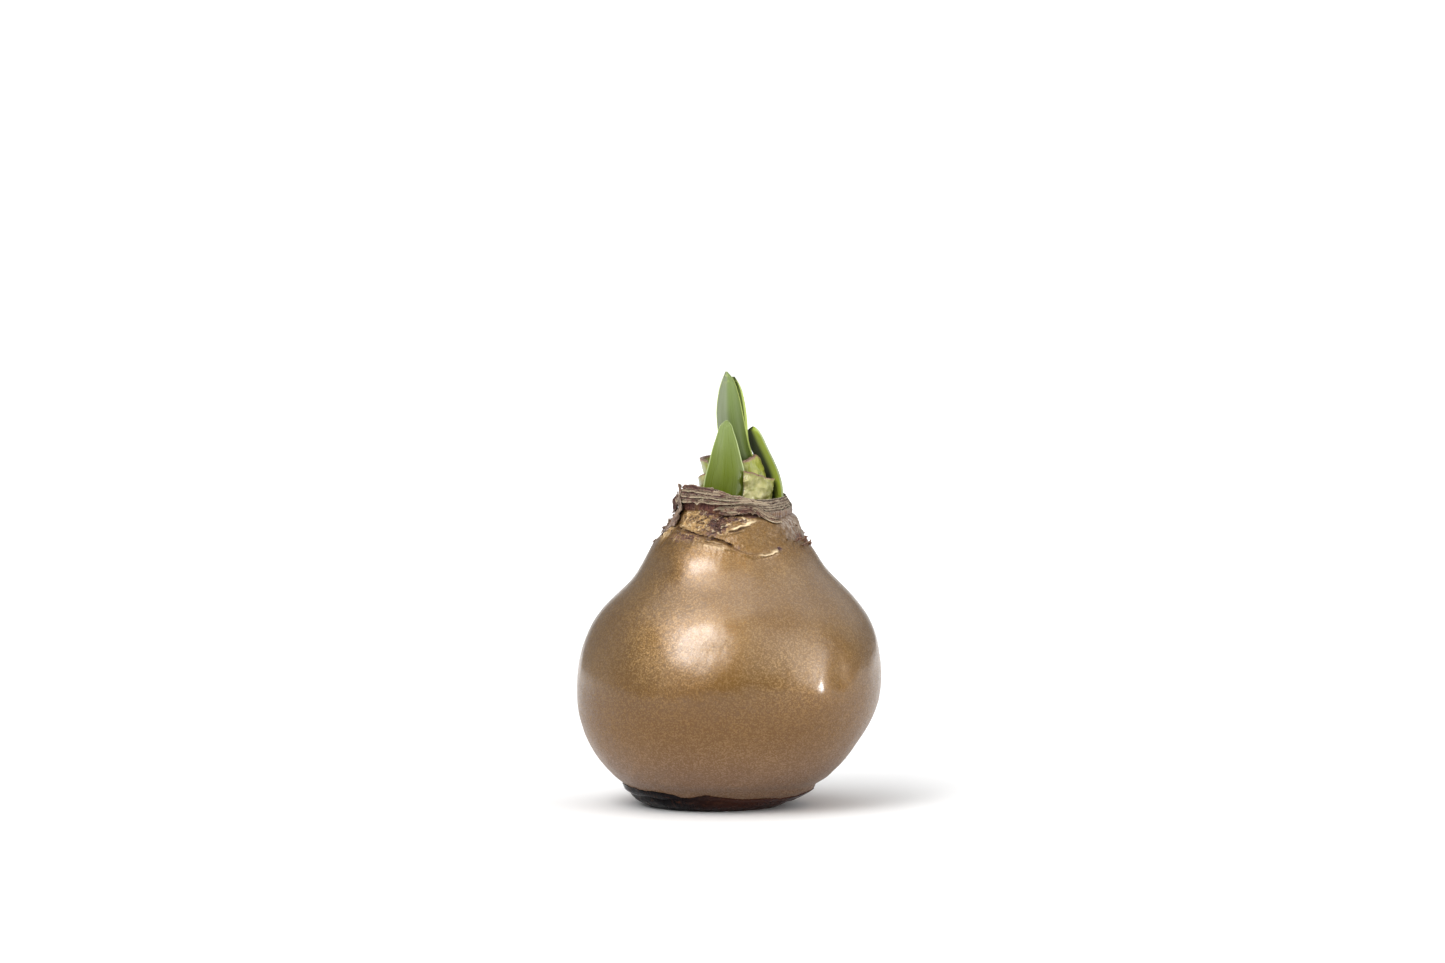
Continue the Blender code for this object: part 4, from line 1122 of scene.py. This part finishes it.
def side_skins(paint):
    """The torn skins that stand out from the neck's sides: a flap, a curl and flakes."""
    flap = Shape()
    free = line([(0.0, -149), (0.3, -146), (0.6, -149), (1.0, -157)])
    strip(flap, (-172, free), line([(-172, 88.2), (-155, 87.8), (-139, 88.4)]),
          line([(-172, 98.4), (-163, 100.0), (-139, 100.4)]),
          lambda along, up: -0.35 + 0.5 * (1 - up) + 1.3 * along**2.5, 600, size=(60, 70), thickness=0.2,
          ragged=0.5, ends=0.06, wave=0.7, tone=0.7, red=0.35, grey=0.45, gold=0.2)
    strip(flap, (-176, -160), line([(-176, 87.0), (-160, 86.0)]), line([(-176, 90.0), (-160, 89.2)]),
          (0.3, 0.6), 610, size=(40, 20), thickness=0.2, ragged=0.5, ends=0.2, wave=0.3, tone=0.6, red=0.1,
          grey=0.9, gold=0.4)
    flap.make("skin_flap", paint, "dry_tunic", ["skin_flap_left"])

    def rolled(along, up):
        """How far the curl stands off: most in its middle, so that it rolls up."""
        across = np.sin(math.pi * (0.1 + 0.8 * along)) ** 0.5
        return 0.1 + 1.7 * np.sin(math.pi * (0.15 + 0.8 * up)) * across

    curl = Shape()
    strip(curl, (-202, -172), line([(-202, 92.2), (-186, 91.0), (-172, 92.0)]),
          line([(-202, 95.8), (-188, 97.0), (-172, 95.8)]), rolled, 640, size=(50, 30), thickness=0.28,
          ragged=0.7, ends=0.25, wave=0.5, tone=0.1, red=0.6, dark=0.35)
    strip(curl, (-196, -180), line([(-196, 94.6), (-180, 95.2)]),
          line([(-196, 97.0), (-186, 98.0), (-180, 97.2)]), (0.4, 0.6), 650, size=(30, 20), thickness=0.25,
          ragged=0.6, ends=0.4, wave=0.3, tone=0.1, red=0.6)
    curl.make("skin_curl", paint, "dry_tunic", ["skin_curl_left"])
    left = Shape()
    flakes(left, ((-188, -172, 87.2, 89.6, 660), (-176, -165, 86.9, 88.6, 670),
                  (-186, -178, 85.4, 87.4, 675)), 0.2, 0.4, (0.25, 0.9), size=(36, 14), thickness=0.22,
           ragged=0.5, ends=0.3, wave=0.35, tone=0.25, red=0.4, grey=0.3, gold=0.3)
    chips(left, ((-168, 90.6, 1.6), (-157, 88.6, 1.2), (-166, 84.6, 1.4), (-175, 82.6, 1.2), (178, 90.2, 1.8),
                 (165, 90.8, 1.6), (150, 88.4, 1.4), (138, 90.2, 1.6)), 930)
    left.make("skin_flakes_left", paint, "dry_tunic", ["skin_flake_left"])
    right = Shape()
    flakes(right, ((-34, -26, 82.6, 84.0, 680), (-28, -18, 81.2, 83.0, 690), (-22, -12, 82.8, 84.9, 700),
                   (-14, -5, 81.4, 83.2, 710)), 0.4, 0.3, (0.1, 1.1), size=(40, 18), thickness=0.2,
           ragged=1.0, ends=0.45, wave=0.6, tone=0.3, red=0.8, gold=0.45)
    chips(right, ((-39, 83.9, 1.4), (-21, 87.6, 1.2), (6, 84.6, 1.4), (24, 87.6, 1.6), (52, 86.8, 1.4),
                  (88, 87.4, 1.8), (112, 86.6, 1.4)), 960)
    right.make("skin_flakes_right", paint, "dry_tunic", ["skin_flake_right"])


def blade(shape, thickness, stations, facing, bow, size, top=None, roll=0.0, crumple=0.0, seed=0, meet=None):
    """A leaf, a bract or a leaf stump: an upright blade, curved about its length, with thin rounded margins.

    thickness: along its ridge. stations: height, x and y of the ridge of its outer face, and half its width.
    facing: the way its outer face looks, in degrees. bow: the radius of its curve across. size: rows and
    columns. top: its upper edge as a function of the place across, from -1 to 1; without it, it ends in its
    last station. roll: how far its upper edge bends out. crumple: how uneven it is. meet: where its margins
    meet those of another blade, as (height, y) pairs.
    """
    rows, columns = size
    heights, *others = zip(*stations)
    x, y, half_width = (spline(heights, other) for other in others)
    look = math.radians(facing)
    up = steps(rows)
    a = np.sin(np.linspace(-math.pi / 2, math.pi / 2, columns))[None, :]
    share = 1 - (1 - up) ** 1.6 if top is None else up
    end = heights[-1] if top is None else top(a)
    z = toward(SHOOT_BASE - 0.5, end, share) + 0 * a
    inside = np.maximum(z, SHOOT_BASE)
    half = np.clip(half_width(inside), 0.12, bow)
    turn = look + a * np.arcsin(half / bow)
    ridge = np.clip(0.5 * half, 0.2, thickness)
    margin = np.minimum(0.8, ridge)
    thick = (ridge + (margin - ridge) * a * a) * np.sqrt(np.clip(1 - np.abs(a) ** 9, 0.004, 1.0))
    if top is None:
        thick = thick * np.sqrt(np.clip(1 - share**24, 0.01, 1.0))
    reach = bow + roll * share**3
    if crumple:
        place = np.stack([a * half + 0 * z, z * 0.8, np.full(z.shape, float(seed))], axis=-1)
        reach = reach + crumple * (creases(place * 0.16, 3, seed) - 0.45)
        reach = reach + 0.3 * crumple * smooth_noise(place * 0.5, seed + 5)
    axis_x, axis_y = x(inside) - bow * math.cos(look), y(inside) - bow * math.sin(look)
    outer, inner = (
        np.stack([axis_x + radius * np.cos(turn), axis_y + radius * np.sin(turn), z], axis=-1)
        for radius in (reach, reach - thick)
    )
    if meet:
        seam = (line(meet)(inside) - (outer[..., 1] + inner[..., 1]) / 2) * np.abs(a) ** 4
        outer[..., 1] += seam
        inner[..., 1] += seam
    shell(shape, outer, inner, across=a, up=up)


def along_blade(p, across, up, veins, length):
    """A place on a blade that is stretched along it, apart on its two faces."""
    return p.point(p.times(across, veins), p.times(up, length), p.times(p.value("back"), 7.0))


def green_paint(name, low, high, margin, inner, rough, shine, bloom=None):
    """A leaf or a bract, with veins along it.

    low, high: its colours below and above. margin: its paler margins. inner: its inner face's colours at the
    right and the left. bloom: the dull film over its upper left half, if it has one.
    """
    p = Paint(name, Specular_IOR_Level=shine)
    across, up, back = p.value("across"), p.value("up"), p.value("back")
    place = along_blade(p, across, up, 6.0, 1.4)
    vein = p.noise(1.0, 3.0, place=place, roughness=0.6)
    fine = p.noise(3.3, 2.0, place=place)
    inside = p.mix(p.span(across, 0.28, -0.5), *inner)
    base = p.mix(p.span(back, 0.3, 0.7), p.mix(p.span(up, 0.05, 1.0), low, high), inside)
    if bloom:
        film = p.times(p.span(across, 0.1, -0.35), p.span(up, 0.12, 0.5))
        base = p.mix(p.times(film, p.span(vein, 0.2, 0.8, 0.7, 1.0)), base, bloom)
    shade = p.times(p.span(vein, 0.25, 0.75, 0.94, 1.06), p.span(fine, 0.25, 0.75, 0.95, 1.05))
    # Pale spots near the tip: painted highlights.
    pale = p.span(p.noise(0.55, 4.0, roughness=0.6), 0.56, 0.66)
    base = p.cover(
        p.scaled(base, (shade, shade, shade)),
        (p.times(pale, p.span(up, 0.72, 0.98, 0.0, 0.55)), margin),
        (p.span(p.math("ABSOLUTE", across), 0.90, 0.97), margin),
        (p.span(up, 0.965, 1.0), margin),
    )
    normal = p.bump(p.plus(p.times(vein, 0.7), p.times(fine, 0.3)), 0.16)
    rough = p.span(vein, 0.2, 0.8, rough - 0.05, rough + 0.07)
    return p.shine(Base_Color=base, Roughness=rough, Normal=normal)


def stump_paint(name, veins, body, blots):
    """A cut leaf base: pale and glossy, with dry brown edges and faint green veins."""
    p = Paint(name, Coat_Weight=0.6, Coat_Roughness=0.12)
    across, up = p.value("across"), p.value("up")
    vein = p.noise(1.0, 3.0, place=along_blade(p, across, up, 5.0, 1.2))
    streak = p.noise(1.3, 4.0, stretch=(1.0, 1.0, 0.12), roughness=0.6)
    spot = p.span(p.noise(0.7, 4.0, roughness=0.6), 0.66, 0.72)
    # The height up it, with an uneven end where it was cut and dried
    ragged = p.plus(up, p.times(p.plus(p.noise(1.2, 4.0, roughness=0.65), -0.5), 0.12))
    base = p.cover(
        p.mix(p.span(vein, 0.3, 0.7), veins, body),
        (p.span(p.noise(0.3, 4.0), 0.5, 0.7), blots),
        (p.span(streak, 0.56, 0.68, 0.0, 0.35), (0.20, 0.22, 0.035)),
        (p.times(spot, 0.7), (0.14, 0.075, 0.04)),
        (p.span(ragged, 0.935, 0.970), (0.30, 0.19, 0.105)),
        (p.span(ragged, 0.980, 0.995), (0.140, 0.072, 0.042)),
        (p.times(p.span(p.math("ABSOLUTE", across), 0.93, 1.0), 0.6), (0.30, 0.21, 0.11)),
    )
    normal = p.bump(p.plus(vein, p.plus(p.noise(0.5, 3.0), streak)), 0.26)
    rough = p.span(ragged, 0.92, 0.97, 0.30, 0.75)
    return p.shine(Base_Color=base, Roughness=rough, Normal=normal, Coat_Normal=normal)


def shoots():
    """The young leaves, the bud in its two bracts, and the cut bases of old leaves."""
    leaf = green_paint("leaf_green", (0.098, 0.130, 0.007), (0.190, 0.250, 0.073), (0.42, 0.50, 0.22),
                       ((0.06, 0.09, 0.005), (0.12, 0.18, 0.01)), 0.28, 0.35)
    # The side leaf's inner face is painted dark at one side, as shade in its hollow, and bright at the other,
    # as light falling on it.
    side_leaf = green_paint("leaf_green_side", (0.270, 0.340, 0.050), (0.155, 0.205, 0.045),
                            (0.38, 0.43, 0.24), ((0.047, 0.059, 0.020), (0.35, 0.43, 0.060)), 0.45, 0.05)
    # The bud is painted darker low down, as the shade that the front leaf casts on it.
    bud = green_paint("bud_green", (0.060, 0.087, 0.009), (0.188, 0.252, 0.082), (0.50, 0.58, 0.17),
                      ((0.08, 0.12, 0.02), (0.11, 0.16, 0.03)), 0.42, 0.3, bloom=(0.208, 0.238, 0.150))
    bud_back = green_paint("bud_green_back", (0.085, 0.120, 0.014), (0.095, 0.130, 0.030), (0.40, 0.48, 0.13),
                           ((0.06, 0.09, 0.015), (0.07, 0.10, 0.02)), 0.42, 0.3)
    stump = stump_paint("pale_leaf_base", (0.27, 0.27, 0.058), (0.355, 0.335, 0.115), (0.48, 0.44, 0.19))
    fresh = stump_paint("fresh_leaf_base", (0.20, 0.23, 0.022), (0.33, 0.34, 0.055), (0.40, 0.40, 0.09))

    def right_outer_cut(a):
        return 102.8 - 1.7 * a - 0.35 * np.cos(4 * a) + 0.12 * np.sin(17 * a)

    def right_inner_cut(a):
        return 108.5 + 1.7 * a - 5 * np.maximum(0, a - 0.7) + 0.08 * np.sin(11 * a)

    pieces = (
        ("young_leaf_front", "leaf_front", leaf, "leaf_green", 1.5, LEAF_FRONT, -92, 8.5, (96, 45), {}),
        ("young_leaf_right", "leaf_right", side_leaf, "leaf_green", 1.5, LEAF_RIGHT, 33, 9.0, (80, 45), {}),
        ("bud_bract_outer", "bud_bract_front", bud, "bud_green", 2.0, BRACT_FRONT, -94, 5.0, (110, 49),
         dict(meet=BUD_SEAM)),
        ("bud_bract_inner", "bud_bract_back", bud_back, "bud_green", 2.0, BRACT_BACK, 86, 5.0, (110, 49),
         dict(meet=BUD_SEAM)),
        ("leaf_base_right_outer", "leaf_stump_right_outer", stump, "pale_leaf_base", 1.1,
         STUMP_RIGHT_OUTER, -38, 7.3, (50, 61), dict(roll=0.25, top=right_outer_cut, crumple=1.6, seed=81)),
        ("leaf_base_right_inner", "leaf_stump_right_inner", fresh, "pale_leaf_base", 1.1,
         STUMP_RIGHT_INNER, -60, 7.8, (60, 51), dict(roll=0.3, top=right_inner_cut, crumple=0.7, seed=82)),
        ("leaf_base_left_outer", "leaf_stump_left_outer", stump, "pale_leaf_base", 1.1, STUMP_LEFT_OUTER,
         172, 6.7, (50, 51), dict(roll=0.1, top=lambda a: 103.2 - 0.7 * np.cos(3 * a), crumple=0.5, seed=83)),
        ("leaf_base_left_inner", "leaf_stump_left_inner", fresh, "pale_leaf_base", 1.1, STUMP_LEFT_INNER,
         168, 5.5, (60, 45), dict(top=lambda a: 108.6 - 0.8 * a, crumple=0.4, seed=84)),
    )
    for name, node, paint, slot, thickness, stations, facing, bow, size, more in pieces:
        shape = Shape()
        blade(shape, thickness, stations, facing, bow, size, **more)
        shape.make(name, paint, slot, [node])


# The studio's soft light: its direction, the angles from it where it starts and is full, and its strength
SKY = (
    ((0.0, 1.0, 0.12), 95.0, 60.0, 0.20),
    ((0.0, 1.0, 0.0), 20.0, 12.0, 0.80),
    ((-0.39, -0.69, 0.61), 27.0, 0.0, 4.2),
    ((-0.43, -0.36, 0.83), 26.0, 0.0, 2.2),
    ((-0.22, 0.0, 0.97), 40.0, 0.0, 1.5),
    ((-0.57, -0.73, 0.37), 32.0, 0.0, 0.7),
    ((-1.0, -0.1, 0.25), 52.0, 0.0, 0.28),
    ((0.92, -0.38, 0.12), 28.0, 0.0, 1.7),
    ((0.82, -0.46, 0.34), 32.0, 4.0, 1.2),
    ((0.40, -0.76, 0.51), 32.0, 0.0, 0.9),
    ((0.45, -0.20, 0.87), 40.0, 0.0, 0.75),
    ((0.56, 0.41, 0.72), 42.0, 0.0, 0.6),
)
SKY_ALL_OVER = 0.07
WHITE = (1.0, 1.0, 1.0)
# The camera, in metres and degrees, where the photo was taken from
CAMERA_PLACE = (-0.002, -1.313, 0.150)
CAMERA_DOWN = 2.1308
CAMERA_LENS = 105.0
# The point that the lamps face
BULB_MIDDLE = Vector((0.0, 0.0, 0.05))


def ground():
    """A plain pale floor, darker far in front, which glows softly far behind."""
    side = 8.0
    mesh = bpy.data.meshes.new("floor")
    corners = [(-side, -side, 0), (side, -side, 0), (side, side, 0), (-side, side, 0)]
    mesh.from_pydata(corners, [], [(0, 1, 2, 3)])
    p = Paint("floor", Roughness=0.9)
    behind = p.axes()[1]
    pale = p.mix(p.span(behind, -900.0, -120.0), (0.30, 0.30, 0.30), (0.84, 0.84, 0.84))
    mesh.materials.append(p.shine(Base_Color=pale, Emission_Color=WHITE,
                                  Emission_Strength=p.span(behind, 100.0, 900.0, 0.0, 0.3)))
    floor = add("floor", mesh)


def surround():
    """A soft white light from all round, stronger in some directions."""
    world = bpy.data.worlds.new("studio")
    world.use_nodes = True
    sky = Nodes(world.node_tree)
    direction = sky.node("ShaderNodeTexCoord").outputs["Generated"]
    total = SKY_ALL_OVER
    for way, start, full, strength in SKY:
        inputs = {0: direction, 1: Vector(way).normalized()}
        near = sky.node("ShaderNodeVectorMath", inputs, operation="DOT_PRODUCT").outputs["Value"]
        limits = (math.cos(math.radians(angle)) for angle in (start, full))
        total = sky.plus(total, sky.span(near, *limits, 0.0, strength))
    background = world.node_tree.nodes["Background"]
    sky.link(total, background.inputs["Strength"])
    sky.link(WHITE, background.inputs["Color"])
    bpy.context.scene.world = world


def lamp(name, way, upright, distance, size, power):
    """A soft oval lamp, in a direction from the bulb, with its long side along another one."""
    data = bpy.data.lights.new(name, "AREA")
    data.shape = "ELLIPSE"
    data.size, data.size_y = size
    data.energy = power
    back = Vector(way).normalized()
    across = Vector(upright).cross(back).normalized()
    turn = Matrix((across, back.cross(across), back)).transposed().to_4x4()
    add(name, data).matrix_world = Matrix.Translation(BULB_MIDDLE + back * distance) @ turn


def studio():
    """The floor, the surround, a soft lamp high on the left, a small one on the right, and the camera."""
    ground()
    surround()
    lamp("key", (-0.38, -0.68, 0.63), (0.1, 0.5, 0.8), 0.9, (0.36, 0.44), 1.7)
    lamp("side", (0.93, -0.34, 0.0), (0.0, 0.0, 1.0), 1.0, (0.05, 0.05), 1.3)
    lens = bpy.data.cameras.new("camera")
    lens.lens, lens.sensor_width = CAMERA_LENS, 36.0
    lens.clip_start, lens.clip_end = 0.05, 50.0
    camera = add("camera", lens)
    camera.location = CAMERA_PLACE
    camera.rotation_euler = (math.radians(90.0 - CAMERA_DOWN), 0.0, 0.0)
    bpy.context.scene.camera = camera
    bpy.context.scene.view_settings.view_transform = "Standard"


wax_coat()
dark_foot()
dry_skin = bulb()
front_strips(dry_skin)
side_skins(dry_skin)
shoots()
studio()
